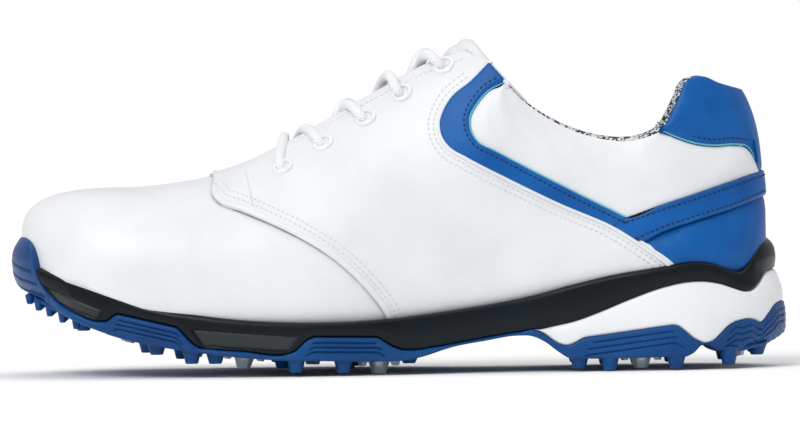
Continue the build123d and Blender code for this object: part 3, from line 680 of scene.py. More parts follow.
# %% Side-view curves of the sole
FRAME_TOP = np.array([(-140.5, 42.6), (-138.7, 41.8), (-119, 35.4), (-98, 27.9), (-73.4, 23.3),
                      (-32, 20.5), (-4.8, 21.3),
                      (17.6, 23.7), (37.7, 26.6), (52.8, 29.6), (66.4, 33.2), (81.8, 36.7), (99.7, 39.5),
                      (114.8, 41.4), (122, 40.6), (128.6, 38.4), (134.0, 37.6), (138.5, 40.6),
                      (143.0, 46.5),
                      (146.5, 49.6), (150.5, 50.2)], float)
BLUE_TOP = np.array([(-150.5, 54.0), (-147.5, 53.4), (-144.5, 51.3), (-142.4, 48.2), (-140.6, 43.5),
                     (-139.4, 38.5),
                     (-137.6, 33.2), (-134.6, 29.8), (-130.2, 27.2), (-125.8, 25.2), (-116.5, 21.7),
                     (-112.4, 21.6),
                     (-108.4, 24.5), (-85.2, 19.1), (-79.8, 13.2),
                     (-77.5, 11.6), (-73, 10.9), (-60.0, 9.7), (-42.6, 8.6), (-39.6, 9.6),
                     (-35.6, 13.6), (-32.6, 14.9),
                     (-8.0, 14.3), (-2.8, 10.8), (1.0, 9.4), (4, 9.2), (14.9, 10.4), (34.4, 13.6),
                     (46.3, 15.4), (52.8, 16.1), (56, 14.4), (60, 11.4), (63.8, 10.0), (67.5, 11.0),
                     (71, 12.9),
                     (105.2, 17.3), (107.6, 16.8), (113.4, 11.8), (116.5, 10.3), (119.4, 10.3),
                     (122.0, 11.6),
                     (126.6, 16.3), (129.6, 18.0), (134.4, 19.0), (137.4, 18.6), (139.8, 17.2),
                     (142.6, 20.0),
                     (145.5, 23.2), (150.5, 25.4)], float)
WEDGE_TOP = np.array([(50.0, 15.9), (52.8, 16.1), (60, 17.5), (68, 19.3), (76.2, 22.2), (88.6, 27.2),
                      (101.1, 31.5),
                      (110, 33.4), (117.6, 33.7), (124.5, 32.6), (130, 30.8), (134.5, 29.5), (138.0, 29.9),
                      (141.0, 31.8), (146.6, 36.6), (150.5, 37.5)], float)
BLUE_BOTTOM = np.array([(-150.5, 33.5), (-145.6, 31.0), (-141.2, 29.0), (-122, 20.4), (-109.1, 15.8),
                        (-90, 11.5),
                        (-73.3, 8.9), (-48.5, 6.4), (-30.8, 5.8), (-10.1, 5.2), (4, 5.6), (9, 6.6),
                        (20.3, 10.0),
                        (33, 12.2), (46, 14.0), (51, 13.7), (56, 11.4), (61, 7.6), (65.5, 4.9), (70, 4.8),
                        (101.1, 5.0), (111.0, 5.3), (113.4, 6.6), (116.2, 9.2), (119.0, 9.3), (121.4, 8.0),
                        (124.8, 6.8), (133.1, 6.4), (142.1, 8.0), (146.5, 9.2), (150.5, 13.0)], float)


STRAIGHT_TOPS = [(-116.5, -77.5), (-42.6, 1.0), (67.5, 116.5), (122.0, 139.8)]


def with_straight_tops(curve):
    """The curve again, fine and smooth, but with straight runs and crisp corners over the pads."""
    x = np.arange(-150.5, 150.6, 0.5)
    curved = smooth(curve, x)[:, 0]
    straight = np.mean([np.interp(x + step, *curve.T) for step in (-0.8, -0.4, 0, 0.4, 0.8)], axis=0)
    over_pad = np.any([(x > first) & (x < last) for first, last in STRAIGHT_TOPS], axis=0)
    return np.column_stack([x, np.where(over_pad, straight, curved)])


BLUE_TOP = with_straight_tops(BLUE_TOP)


def along(curve, x):
    """Height of a side-view curve at x."""
    return smooth(curve, x)[..., 0]


TOE_PROFILE = np.array([(28, -6.0), (31.8, -4.4), (36, -1.5), (42.6, 0.0), (48.8, -0.6),
                        (53.6, -3.4)], float)
HEEL_PROFILE = np.array([(6, -5.0), (9, -3.4), (12, -1.0), (18, 0.0), (25, -0.6), (30, -1.6),
                         (37, -3.4), (43, -3.5),
                         (47, -4.4), (50, -6.5)], float)


def wall_offset(x, y, z):
    """How far the sole's wall leans out or in: the bumper bulges at the toe, the heel tapers up."""
    toe = np.clip((-126 - x) / 16, 0, 1)
    heel = np.clip((x - 118) / 24, 0, 1)
    return toe * along(TOE_PROFILE, z) + heel * along(HEEL_PROFILE, z)


# %% [markdown]
# A wall band is a closed tube with a flat section: the outer face carries the relief, and the
# top and bottom corners are rounded by a small radius. Grooves are cut by moving the outer
# face's points in by a smooth valley, on a grid fine enough to hold them.

# %% Wall bands
WALL = 9.0


def valley(distance, width):
    """1 at the middle of a groove, 0 at its lips."""
    return np.clip(1 - (distance / (width / 2)) ** 2, 0, 1)


CLEATS = [(-103.8, 4.0, 19.6, 14.0), (-79.0, 31.0, 12.8, 9.0), (-59.5, -29.0, 10.4, 5.0),
          (-34.0, 32.0, 9.0, 1.0),
          (-8.0, -33.0, 7.6, 0.0), (93.0, -24.0, 8.1, 0.0), (93.0, 20.0, 8.1, 0.0),
          (130.0, -2.0, 11.3, -7.0)]
WELL = 10.4


def cleared(xy):
    """How far the wall's hidden inner foot is raised, so that it stays off the cleat flanges."""
    gap = np.min([np.hypot(xy[:, 0] - cx, xy[:, 1] - cy) for cx, cy, _, _ in CLEATS], axis=0) - WELL
    return 2.6 * np.clip((WALL + 1.5 - gap) / 2.0, 0, 1)


def wall_band(name, low_curve, high_curve, first, last, rows, relief, corner=0.9, depth=WALL, closed=False):
    """The stretch of wall between two side-view curves, from outline point first to last."""
    chosen = np.arange(first, last) % len(PLAN)
    xy, normal = PLAN[chosen], PLAN_NORMAL[chosen]
    low = along(low_curve, xy[:, 0])
    high = np.maximum(along(high_curve, xy[:, 0]), low + 0.2)
    share = np.r_[0, 0.012, 0.03, np.linspace(0.06, 0.94, rows), 0.97, 0.988, 1]
    z = low[None, :] + (high - low)[None, :] * share[:, None]
    x = np.broadcast_to(xy[:, 0], z.shape)
    y = np.broadcast_to(xy[:, 1], z.shape)
    from_edge = np.minimum(z - low, high - z)
    rounding = -corner * (1 - np.clip(from_edge / corner, 0, 1)) ** 2
    out = wall_offset(x, y, z) + rounding + relief(x, y, z, low, high)
    outer = np.stack([x + normal[:, 0] * out, y + normal[:, 1] * out, z], -1)
    inset = [-(corner + 0.6), -depth]

    def edge_line(reach, height):
        return np.column_stack([xy[:, 0] + normal[:, 0] * reach, xy[:, 1] + normal[:, 1] * reach, height])

    top = [edge_line(out[-1] + d, high) for d in inset]
    bottom = [edge_line(out[0] + d, low) for d in inset[::-1]]
    bottom[0][:, 2] += cleared(xy)
    ring = np.concatenate([outer, top, bottom])
    piece = grid_object(name, ring, close_rows=True, close_columns=closed)
    return piece, x, z, len(share)


def outline_index(x, inner_side):
    """The outline's point nearest to x on the outer or the inner side."""
    heel_tip = int(np.argmax(PLAN[:, 0]))
    part = np.arange(0, heel_tip) if not inner_side else np.arange(heel_tip, len(PLAN))
    return int(part[np.argmin(np.abs(PLAN[part, 0] - x))])


def outsole_relief(x, y, z, low, high):
    """Three fine grooves in each window and pad, and slanting ones round the toe bumper."""
    out = np.where((x > -112.5) & (x < -79), 0.35, 0) + np.where((x > -41) & (x < 0), 0.35, 0)
    out = out - 0.5 * ((x > 5) & (x < 50)) - 0.4 * ((x < -113) & (x > -138))
    below = high - z
    for start, end in ((-107.5, -84.0), (-33.5, -8.5)):
        for number in range(3):
            span = (x > start - 1.2 * number) & (x < end + 1.6 * number)
            out = out - 0.8 * valley(below - 2.1 - 1.75 * number, 0.8) * span
    for number in range(3):
        pad = (x > 74 - 1.5 * number) & (x < 106 + 1.5 * number)
        out = out - 0.7 * valley(below - 2.4 - 2.3 * number, 0.8) * pad
        rear = (x > 127.5 - number) & (x < 149)
        out = out - 0.7 * valley(below - 2.6 - 2.4 * number - 0.4 * np.sin(x * 1.1), 0.8) * rear
        slant_height = 46.6 - 4.6 * number - 0.55 * np.abs(y - 5) * 0.35
        wide = 30 + 1.5 * number
        out = out - 0.9 * valley(z - slant_height, 1.1) * ((x < -139 + number) & (np.abs(y - 5.5) < wide))
    heel_pads = ((x > 66) & (x < 116)) | (x > 122)
    out = out + 0.12 * np.sin(2.6 * (x + z)) * heel_pads * (below > 1.2)
    return out


PANELS = [[(-137.6, 35.2), (-114.5, 26.1), (-116.6, 22.9), (-133.0, 28.9)],
          [(-79.3, 18.4), (-38.5, 15.0), (-42.6, 9.8), (-75.0, 12.0)]]


def inside(polygon, x, z):
    """True inside a convex side-view polygon."""
    result = np.ones(x.shape, bool)
    for (x0, z0), (x1, z1) in zip(polygon, polygon[1:] + polygon[:1]):
        result &= (x1 - x0) * (z - z0) - (z1 - z0) * (x - x0) < 0
    return result


def edge_distance(polygon, x, z):
    """Distance to the nearest side of a polygon."""
    nearest = np.full(x.shape, 99.0)
    for (x0, z0), (x1, z1) in zip(polygon, polygon[1:] + polygon[:1]):
        t = np.clip(((x - x0) * (x1 - x0) + (z - z0) * (z1 - z0)) / ((x1 - x0) ** 2 + (z1 - z0) ** 2), 0, 1)
        nearest = np.minimum(nearest, np.hypot(x - x0 - t * (x1 - x0), z - z0 - t * (z1 - z0)))
    return nearest


def frame_relief(x, y, z, low, high):
    """A rounded shoulder, and two panels outlined by a fine groove."""
    out = -0.9 + 0.7 * np.sin(np.clip((z - low) / (high - low), 0, 1) * np.pi) ** 0.7
    for polygon in PANELS:
        out = out - 0.75 * valley(edge_distance(polygon, x, z), 0.9) - 0.25 * inside(polygon, x, z)
    lip = np.clip((high - z) / 2.2, 0, 1)
    return out - 0.5 * (1 - lip) ** 2


def wedge_relief(x, y, z, low, high):
    return -0.6 + 0.8 * np.sin(np.clip((z - low) / (high - low), 0, 1) * np.pi) ** 0.6


outsole_wall, *_ = wall_band("outsole_wall", BLUE_BOTTOM, BLUE_TOP, 0, len(PLAN), 44, outsole_relief,
                             closed=True)
finish_piece(outsole_wall, BLUE_TPU)

frame_low = np.vstack([BLUE_TOP[BLUE_TOP[:, 0] < 49.5], WEDGE_TOP])
frame_start = outline_index(-139.6, False)
frame_end = outline_index(-139.6, True)
frame_wall, frame_x, frame_z, outer_rows = wall_band(
    "midsole_frame_wall", frame_low, FRAME_TOP, frame_start, frame_end, 34, frame_relief)
finish_piece(frame_wall, CHARCOAL_TPU, stands_for=["midsole_frame"])
frame_wall.data.materials.append(GREY_TPU)
columns = frame_x.shape[1]
for face in frame_wall.data.polygons:
    row, column = divmod(face.index, columns - 1)
    if row < outer_rows - 1 and any(inside(p, frame_x[row, column], frame_z[row, column]) for p in PANELS):
        face.material_index = 1

wedge_start, wedge_end = outline_index(52.5, False), outline_index(52.5, True)
wedge_wall, *_ = wall_band("heel_wedge_wall", BLUE_TOP, WEDGE_TOP, wedge_start, wedge_end, 20, wedge_relief)
finish_piece(wedge_wall, WHITE_EVA, stands_for=["heel_wedge"])

# %% [markdown]
# The tread plate closes the sole underneath. It has a round well for each cleat, and it carries the
# moulded lugs. The lugs are one tapered block repeated at marked places by Geometry Nodes, so
# their size is one number each.

# %% Tread plate


def plan_side(x, column):
    """The outline's y at x on the outer (1) or inner (2) side."""
    widths = [tuple(row[[0, column]]) for row in PLAN_WIDTHS]
    tips = np.array([(-150, 6.0)] + widths + [(150, -2.0)])
    return np.interp(x, tips[:, 0], tips[:, 1])


def build_tread():
    x = np.linspace(-141.0, 142.0, 300)
    share = np.linspace(0, 1, 110)
    inset = 3.0 + 4.5 * np.clip((-126 - x) / 14, 0, 1)
    outer, inner = plan_side(x, 1) + inset, plan_side(x, 2) - inset
    y = outer[None, :] + (inner - outer)[None, :] * share[:, None]
    xx = np.broadcast_to(x, y.shape)
    at_waist = np.clip((x - 8) / 10, 0, 1) * np.clip((62 - x) / 10, 0, 1)
    crown = 0.5 + 0.9 * np.sin(np.pi * share)[:, None] ** 0.5 + 0.25 * np.cos(xx * 0.55) * np.cos(y * 0.5)
    z = along(BLUE_BOTTOM, x)[None, :] + crown * (1 - at_waist)
    for cx, cy, seat, tilt in CLEATS:
        far = np.hypot(xx - cx, y - cy)
        floor = seat - 0.1 - (xx - cx) * math.tan(math.radians(tilt))
        z = np.where(far < WELL, np.maximum(z, floor), z)
        z = z - 0.7 * np.exp(-((far - WELL - 1.2) / 0.8) ** 2)
    piece = grid_object("tread_plate", np.stack([xx, y, z], -1), flip=True)
    return thicken(piece, 1.5)


finish_piece(build_tread(), BLUE_TPU)
LUGS = [(-93.1, -42, 8.7), (-79.6, -46, 5.2), (-97, -26, 9.0), (-84, -14, 6.0), (-39.7, -49, 1.4),
        (-21.6, -48, 1.0), (-45, -33, 2.6), (-70.6, -44, 5.0), (3.6, -36, 3.9), (-20, -22, 1.6),
        (-60, -6, 3.6), (-40, 6, 2.2), (-62, 46, 3.2), (-98, 38, 9.4), (-48, 46, 2.0), (-18, 38, 1.0),
        (0, 30, 2.6), (-18, 12, 1.4), (-82, 8, 6.0), (-122, 18, 17.4), (-122, -14, 17.4),
        (69, -35, 1.0), (80.7, -36, 0.0), (106.2, -36, 0.6), (69, 28, 1.0), (80.7, 30, 0.0),
        (106.2, 30, 0.6), (107, -3, 2.4), (126.6, -30, 1.5), (126.6, 23, 1.5), (138, -17, 4.7),
        (138, 11, 4.7)]
TOE_TEETH = [(-142.6, 28.0), (-139.0, 25.6), (-134.6, 23.4), (-129.6, 21.0), (-124.2, 18.6)]
print("lugs", len(LUGS), "cleats", len(CLEATS))


# %% Lugs by Geometry Nodes


def geometry_tree(name, sizes):
    """An empty tree with a geometry input and named size inputs."""
    tree = bpy.data.node_groups.new(name, "GeometryNodeTree")
    tree.interface.new_socket("Geometry", in_out="INPUT", socket_type="NodeSocketGeometry")
    for label, value in sizes.items():
        kind = "NodeSocketMaterial" if isinstance(value, bpy.types.Material) else "NodeSocketFloat"
        tree.interface.new_socket(label, in_out="INPUT", socket_type=kind)
    tree.interface.new_socket("Geometry", in_out="OUTPUT", socket_type="NodeSocketGeometry")
    return tree, tree.nodes.new("NodeGroupInput"), tree.nodes.new("NodeGroupOutput")


def run_tree(piece, tree, sizes):
    """Puts the tree on a piece, sets its inputs and returns the result as a plain mesh object."""
    modifier = piece.modifiers.new(tree.name, "NODES")
    modifier.node_group = tree
    for item in tree.interface.items_tree:
        if item.in_out == "INPUT" and item.name in sizes:
            modifier[item.identifier] = sizes[item.name]
    bpy.context.view_layer.update()
    evaluated = piece.evaluated_get(bpy.context.evaluated_depsgraph_get())
    mesh = bpy.data.meshes.new_from_object(evaluated)
    result = bpy.data.objects.new(piece.name + "_made", mesh)
    bpy.context.scene.collection.objects.link(result)
    bpy.data.objects.remove(piece)
    return result


def marked_points(name, points, **attributes):
    """Loose vertices that carry vectors for the trees to read."""
    piece = mesh_object(name, points, [])
    for label, values in attributes.items():
        layer = piece.data.attributes.new(label, "FLOAT_VECTOR", "POINT")
        layer.data.foreach_set("vector", np.asarray(values, float).ravel())
    return piece


def lug_tree(sizes):
    tree, given, result = geometry_tree("tapered_lugs", sizes)
    block = add_node(tree, "GeometryNodeMeshCone", {"fill_type": "NGON"}, {
        "Vertices": 10, "Radius Top": given.outputs["Tip radius"], "Radius Bottom": given.outputs["Root radius"],
        "Depth": 1.0})
    stretch = add_node(tree, "GeometryNodeInputNamedAttribute", {"data_type": "FLOAT_VECTOR"},
                       {"Name": "stretch"})
    placed = add_node(tree, "GeometryNodeInstanceOnPoints", None, {
        "Points": given.outputs["Geometry"], "Instance": block.outputs["Mesh"],
        "Scale": stretch.outputs[0]})
    real = add_node(tree, "GeometryNodeRealizeInstances", None, {"Geometry": placed.outputs["Instances"]})
    coat = add_node(tree, "GeometryNodeSetMaterial", None, {
        "Geometry": real.outputs["Geometry"], "Material": given.outputs["Material"]})
    tree.links.new(coat.outputs["Geometry"], result.inputs["Geometry"])
    return tree


def build_lugs():
    points, stretch = [], []
    for x, y, tip in LUGS:
        root = float(along(BLUE_BOTTOM, x)) + 2.0
        points.append((x, y, root))
        stretch.append((1, 1, -(root - tip) * MM))
    for x, tip in TOE_TEETH:
        root = float(along(BLUE_BOTTOM, x)) + 2.0
        for y in np.linspace(plan_side(x, 1) + 8.0, plan_side(x, 2) - 8.0, 5):
            points.append((x, y, root))
            stretch.append((0.5, 0.5, -(root - tip) * MM))
    sizes = {"Tip radius": 2.5 * MM, "Root radius": 4.1 * MM, "Material": BLUE_TPU}
    made = run_tree(marked_points("outsole_lugs", points, stretch=stretch), lug_tree(sizes), sizes)
    work = bmesh.new()
    work.from_mesh(made.data)
    bmesh.ops.recalc_face_normals(work, faces=work.faces)
    bmesh.ops.bevel(work, geom=[e for e in work.edges], offset=0.35 * MM, segments=1, affect="EDGES")
    work.to_mesh(made.data)
    work.free()
    return made


lugs = build_lugs()
finish_piece(lugs, BLUE_TPU, stands_for=["outsole"])
lugs.data.shade_flat()
for name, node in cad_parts.items():
    if name.startswith("cleat_") and name != "cleat_sockets":
        node.data.materials.clear()
        node.data.materials.append(CLEAT_TPU)
BOARD = moulded("pressed_fibre_board", "#8A6E4E", "#A98A64", 0.85, 0.5 * MM, 0.08 * MM)
FOAM = moulded("grey_foam", "#C6C9CC", "#DADCDE", 0.8, 0.8 * MM, 0.08 * MM)
STEEL = moulded("spring_steel", "#7D8186", "#9A9EA3", 0.3, 0.3 * MM, 0.01 * MM, Metallic=1.0)
HIDDEN = {"cleat_sockets": CLEAT_TPU, "shank_plate": STEEL, "insole_board": BOARD, "toe_puff": BOARD,
          "heel_stiffener": BOARD, "midsole_cushion": FOAM}
for name, material in HIDDEN.items():
    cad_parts[name].data.materials.clear()
    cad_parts[name].data.materials.append(material)
print("lug faces", len(lugs.data.polygons))


# %% [markdown]
# Round the ankle the lining comes up, turns over a roll of foam and is caught by the leather's edge.
# It is one woven skin: a half-round roll along the collar, then the padded wall inside, down
# to the footbed. The footbed lies on the lasting board inside.

# %% Collar roll, lining and footbed
ROLL_WIDTH = 5.0
FOOTBED = np.array([(-150, 39), (-140, 35), (-120, 28.5), (-100, 22.6), (-75, 17), (-50, 14.2), (-30, 13.5),
                    (0, 14.5), (20, 18.5), (50, 24.5), (80, 31.5), (110, 35.5), (130, 34.8),
                    (150, 35.5)], float)
MOUTH = [(27.0, 124.6), (35.4, 117.6)] + COLLAR_EDGE[2:]


def surface_axes(u, angle):
    """Outward and upward unit vectors of the last's surface."""
    here = heel_point(u, angle)
    outward = heel_point(u, angle, 1.0) - here
    upward = heel_point(u, np.asarray(angle) + 1.5) - here
    outward /= np.linalg.norm(outward, axis=-1, keepdims=True)
    upward /= np.linalg.norm(upward, axis=-1, keepdims=True)
    return here, outward, upward


def build_lining():
    edge = around_heel(side_curve(MOUTH, 110))
    u, angle = edge.T
    here, outward, upward = surface_axes(u, angle)
    rows = [heel_point(u, angle - 3.0, -0.4)]
    rise = np.interp(here[:, 0], [30, 38, 100, 112], [1.2, 1.9, 1.9, 1.2])
    for turn in np.linspace(0, math.pi, 9):
        inward = outward * (ROLL_WIDTH / 2 * (math.cos(turn) - 1))
        rows.append(here + inward + upward * (rise[:, None] * math.sin(turn)))
    low = smooth(FOOTBED, here[:, 0])[:, 0] + 4
    for share in np.linspace(0.04, 1, 26):
        height = here[:, 2] * (1 - share) + low * share
        folded = np.where(u > HEEL_START + HEEL_TURN, 2 * (HEEL_START + HEEL_TURN) - u, u)
        _, wide, top, _, _, roundness, _ = section(folded)
        up = np.clip((height - wide) / (top - wide), -1, 1)
        down = np.clip((wide - height) / (wide - section(folded)[0]), 0, 1) ** 2
        wall = np.degrees(np.where(up > 0, np.arcsin(np.clip(up, 0, 1) ** (roundness / 2)), -np.arcsin(down)))
        wall = np.minimum(wall, angle)
        pad = 2.6 * math.sin(math.pi * min(share / 0.55, 1.0)) ** 0.8
        rows.append(heel_point(u, wall, -ROLL_WIDTH - pad))
    points = np.stack(rows)
    piece = grid_object("collar_lining_skin", points, flip=not faces_inward(points))
    return finish_piece(thicken(piece, 0.6), WOVEN_LINING,
                        stands_for=["collar_lining", "collar_padding", "vamp_lining"])


def build_footbed():
    x = np.linspace(-128, 136, 90)
    _, _, _, centre, half, _, _ = section(np.clip(x, TOE_START - 40, HEEL_START))
    back = np.clip((x - 96) / (137.5 - 96), 0, 1)
    reach = (half - 6.5) * (1 - back**2.3) ** (1 / 2.3)
    share = np.linspace(-1, 1, 31)
    y = centre + reach * share[:, None]
    z = smooth(FOOTBED, x)[:, 0] + 6.0 + 2.5 * np.abs(share[:, None]) ** 4
    piece = grid_object("footbed", np.stack([np.broadcast_to(x, y.shape), y, z], -1))
    return finish_piece(thicken(piece, 3.0), FOOTBED_CLOTH, stands_for=["sockliner"])


lining = build_lining()
footbed = build_footbed()
print("lining faces", len(lining.data.polygons))

# %% [markdown]
# The tongue is a padded white pad under the laces. Its body is sewn in at the toe end and stays
# with the shoe; its top is free and bends back when the foot goes in. One closed skin covers
# both.

# %% Tongue
TONGUE_START, TONGUE_END = -50.0, 31.5
TONGUE_ROWS = np.array([(-50, 20, -4.6, 2.4), (-42, 20, -6.6, 3.2), (-34, 21, -9.0, 4.0),
                        (-20, 24, -9.8, 4.6), (0, 28, -9.8, 5.0), (9, 32, -9.6, 5.4),
                        (14.5, 38, -7.0, 6.5), (19.5, 46, -2.0, 8.5), (24, 52, 0.0, 9.5),
                        (31.5, 57, 0.4, 9.0)], float)


def build_tongue():
    """Rows run along the shoe; each is a closed loop, out over the top and back underneath."""
    place = np.r_[np.linspace(TONGUE_START, 13, 30), np.linspace(14, TONGUE_END, 26)]
    spread, level, thick = smooth(TONGUE_ROWS, place).T
    ahead = np.clip((place - 8) / (TONGUE_END - 8), 0, 1)
    shrink = np.r_[0.05, 0.6, 0.85, np.ones(len(place) - 9), 0.97, 0.9, 0.78, 0.6, 0.35, 0.04]
    t = np.sin(np.linspace(-1, 1, 41) * math.pi / 2)
    loop = np.r_[t, t[::-1][1:-1]]
    above = np.r_[np.ones(len(t)), -np.ones(len(t) - 2)]
    rows = []
    for k, u in enumerate(place):
        rounded = np.sqrt(np.clip(1 - np.abs(loop) ** 7, 0, 1))
        quilt = 1 + 0.05 * math.cos(k * 0.8)
        middle = level[k] - thick[k] / 2 - ahead[k] ** 2 * 5.5 * np.abs(loop) ** 1.5
        out = middle + above * rounded * shrink[k] * thick[k] / 2 * quilt
        rows.append(upper_point(u + 19 * ahead[k] ** 1.5 * np.abs(loop) ** 1.7, 90 + loop * spread[k], out))
    return grid_object("padded_tongue", np.stack(rows), close_columns=True, flip=True)


tongue = build_tongue()
finish_piece(tongue, WHITE_LEATHER, body=None, stands_for=["tongue_body", "tongue_tab"])
tongue.data.materials.append(WOVEN_LINING)
for face in tongue.data.polygons:
    if face.index % 80 >= 40:
        face.material_index = 1
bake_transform(tongue)
print("tongue faces", len(tongue.data.polygons))


# %% [markdown]
# Five pairs of enamelled eyelets line the throat. Each is one ring, turned like a bead with a short
# barrel, and set square to the leather. The hole's floor is dark, because inside it there is only
# the shade of the shoe.

# %% Eyelets
EYELETS = [(-43.6, 79.0), (-27.9, 88.0), (-11.4, 97.5), (2.6, 107.0), (19.0, 117.4)]
RING_PROFILE = [(2.75, -1.0), (2.7, 0.0), (2.8, 0.55), (3.05, 0.95), (3.4, 1.05), (3.85, 0.85), (4.2, 0.4),
                (4.3, 0.0), (4.3, -0.4)]
LEATHER_FACE = 1.2


def eyelet_axes(x, z, inner_side):
    """Centre, direction along the shoe and outward direction at an eyelet."""
    u, angle = mirrored(on_side(np.array([x, z])), inner_side)
    centre = upper_point(u, angle)
    forward = upper_point(u + 1, angle) - upper_point(u - 1, angle)
    around = upper_point(u, angle + 1) - upper_point(u, angle - 1)
    outward = np.cross(around, forward)
    outward *= np.sign(outward[2]) / np.linalg.norm(outward)
    forward /= np.linalg.norm(forward)
    return centre, forward, outward


SHADE = moulded("dark_shade_of_the_hole", "#15181A", "#24282B", 0.9, 1.0 * MM, 0.02 * MM)
for side, inner in (("lateral", False), ("medial", True)):
    rings = bmesh.new()
    for x, z in EYELETS:
        centre, forward, outward = eyelet_axes(x, z, inner)
        across = np.cross(outward, forward)
        turns = np.linspace(0, 2 * math.pi, 41)[:-1]
        ring = [[rings.verts.new((centre + (forward * math.cos(t) + across * math.sin(t)) * radius
                                  + outward * (LEATHER_FACE + height)) * MM) for t in turns]
                for radius, height in RING_PROFILE]
        for lower, upper in zip(ring, ring[1:]):
            for k in range(len(turns)):
                rings.faces.new((lower[k], lower[k - 1], upper[k - 1], upper[k]))
        floor = rings.faces.new(ring[0])
        floor.material_index = 1
    bmesh.ops.recalc_face_normals(rings, faces=rings.faces)
    mesh = bpy.data.meshes.new(f"{side}_eyelet_rings")
    rings.to_mesh(mesh)
    rings.free()
    piece = bpy.data.objects.new(mesh.name, mesh)
    bpy.context.scene.collection.objects.link(piece)
    finish_piece(piece, ENAMEL, stands_for=[f"eyelets_{side}"])
    mesh.materials.append(SHADE)
print("eyelet rings 2 x", len(EYELETS))

# %% [markdown]
# The lace is one cord held all the way: a bar over the first pair of eyelets, four crossed rows,
# and two ends tucked inside the collar. A smooth NURBS line follows its route, and a tube
# is drawn along that line so that the braid's pattern can run along it in real millimetres.

# %% Lace
LACE_RADIUS = 2.0
LOOP_OUT, LOOP_UNDER = 3.2, 7.2
CROSS_LEVEL = 2.3


def ridge_point(x):
    return upper_point(x, 90.0)


def crossing(x, side, level):
    """Rises from under one edge, crosses the gap and lies on the other edge."""
    start, middle, over = x + 2.0, x + 6.0, x + 9.0
    under = ridge_point(start) + [0, -side * (gap_half(start) - 4.2), -7.4]
    centre = ridge_point(middle) + [0, 0, -1.9 + level]
    edge = ridge_point(over) + [0, side * (gap_half(over) + 2.3), 1.6]
    return [under, centre, edge]


def gap_half(x):
    return 6.5 + 4.5 * (x + 43.0) / 88.0


def lace_half(side):
    points = [ridge_point(EYELETS[0][0]) + [0, side * 5, 2.8]]
    strand = side
    for row, (x, z) in enumerate(EYELETS):
        centre, forward, outward = eyelet_axes(x, z, strand > 0)
        points += [centre + outward * LOOP_OUT - forward * 1.4, centre - outward * LOOP_UNDER + forward * 0.4]
        if row < len(EYELETS) - 1:
            level = CROSS_LEVEL if (strand > 0) == (row % 2 == 0) else -CROSS_LEVEL
            strand = -strand
            points += crossing(x, strand, level)
    for x, z in ((20.5, 108), (22.5, 99.5), (23.8, 91)):
        centre, _, outward = eyelet_axes(x, z, strand > 0)
        points.append(centre - outward * LOOP_UNDER)
    return points


def nurbs_line(name, points):
    """Points on a smooth NURBS spline through the route, in mm."""
    curve = bpy.data.curves.new(name, "CURVE")
    curve.dimensions = "3D"
    curve.resolution_u = 8
    spline = curve.splines.new("NURBS")
    spline.points.add(len(points) - 1)
    for spot, point in zip(spline.points, points):
        spot.co = (*(np.asarray(point) * MM), 1.0)
    spline.order_u = 3
    spline.use_endpoint_u = True
    line = bpy.data.objects.new(name, curve)
    bpy.context.scene.collection.objects.link(line)
    bpy.context.view_layer.update()
    mesh = bpy.data.meshes.new_from_object(line.evaluated_get(bpy.context.evaluated_depsgraph_get()))
    path = np.array([vertex.co for vertex in mesh.vertices]) / MM
    bpy.data.objects.remove(line)
    return path


def tube(name, path, radius, sides=12, flat=1.0, up=None, closed_ends=True):
    """A tube along a path in mm, with a UV map of metres along and turns around."""
    tangent = np.gradient(path, axis=0)
    tangent /= np.linalg.norm(tangent, axis=1)[:, None]
    if up is None:
        side = np.cross(tangent[0], (0.0, 0.0, 1.0))
        sideways = [side / np.linalg.norm(side)]
        for step in tangent[1:]:
            carried = sideways[-1] - step * np.dot(sideways[-1], step)
            sideways.append(carried / np.linalg.norm(carried))
        sideways = np.array(sideways)
    else:
        sideways = np.cross(tangent, up)
        sideways /= np.linalg.norm(sideways, axis=1)[:, None]
    raised = np.cross(sideways, tangent)
    turn = np.linspace(0, 2 * math.pi, sides + 1)[:-1]
    across = sideways[:, None] * np.cos(turn)[:, None] * radius
    upward = raised[:, None] * np.sin(turn)[:, None] * radius * flat
    points = path[:, None] + across + upward
    if closed_ends:
        first, last = np.repeat(path[:1, None], sides, 1), np.repeat(path[-1:, None], sides, 1)
        points = np.concatenate([first, points, last])
        path = np.vstack([path[:1], path, path[-1:]])
    piece = grid_object(name, points, close_columns=True, flip=True)
    run = np.r_[0, np.cumsum(np.linalg.norm(np.diff(path, axis=0), axis=1))] * MM
    layer = piece.data.uv_layers.new(name="along_around")
    for face in piece.data.polygons:
        row, column = divmod(face.index, sides)
        for loop, (i, j) in zip(face.loop_indices, ((row, column), (row, column + 1), (row + 1, column + 1),
                                                    (row + 1, column))[::-1]):
            layer.data[loop].uv = (run[i], j / sides)
    return piece


route = lace_half(-1)[::-1] + lace_half(1)
lace_path = nurbs_line("lace_route", route)
lace = tube("lace_braid", lace_path, LACE_RADIUS, sides=16)
finish_piece(lace, LACE_BRAID, stands_for=["lace"])
LACE_TIP = moulded("clear_acetate_tip", "#D8DCE0", "#E6E9EC", 0.18, 2.0 * MM, 0.01 * MM, Coat_Weight=0.5)
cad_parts["lace_tips"].data.materials.clear()
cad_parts["lace_tips"].data.materials.append(LACE_TIP)
lace_length = float(np.sum(np.linalg.norm(np.diff(lace_path, axis=0), axis=1)))
print("lace", round(lace_length), "mm,", len(route), "points")


# %% [markdown]
# Trim makes the panels read as sewn leather: a white folded cord along the saddle seam, piping round
# the hook, and painted cut edges. Each is a thin tube that follows its panel's outline.

# %% Piping and edges


def shifted(points, distance, count=140):
    """A side-view outline moved sideways by a distance in mm."""
    line = resample(points, count)
    direction = np.gradient(line, axis=0)
    direction /= np.linalg.norm(direction, axis=1)[:, None]
    return line + np.column_stack([-direction[:, 1], direction[:, 0]]) * distance


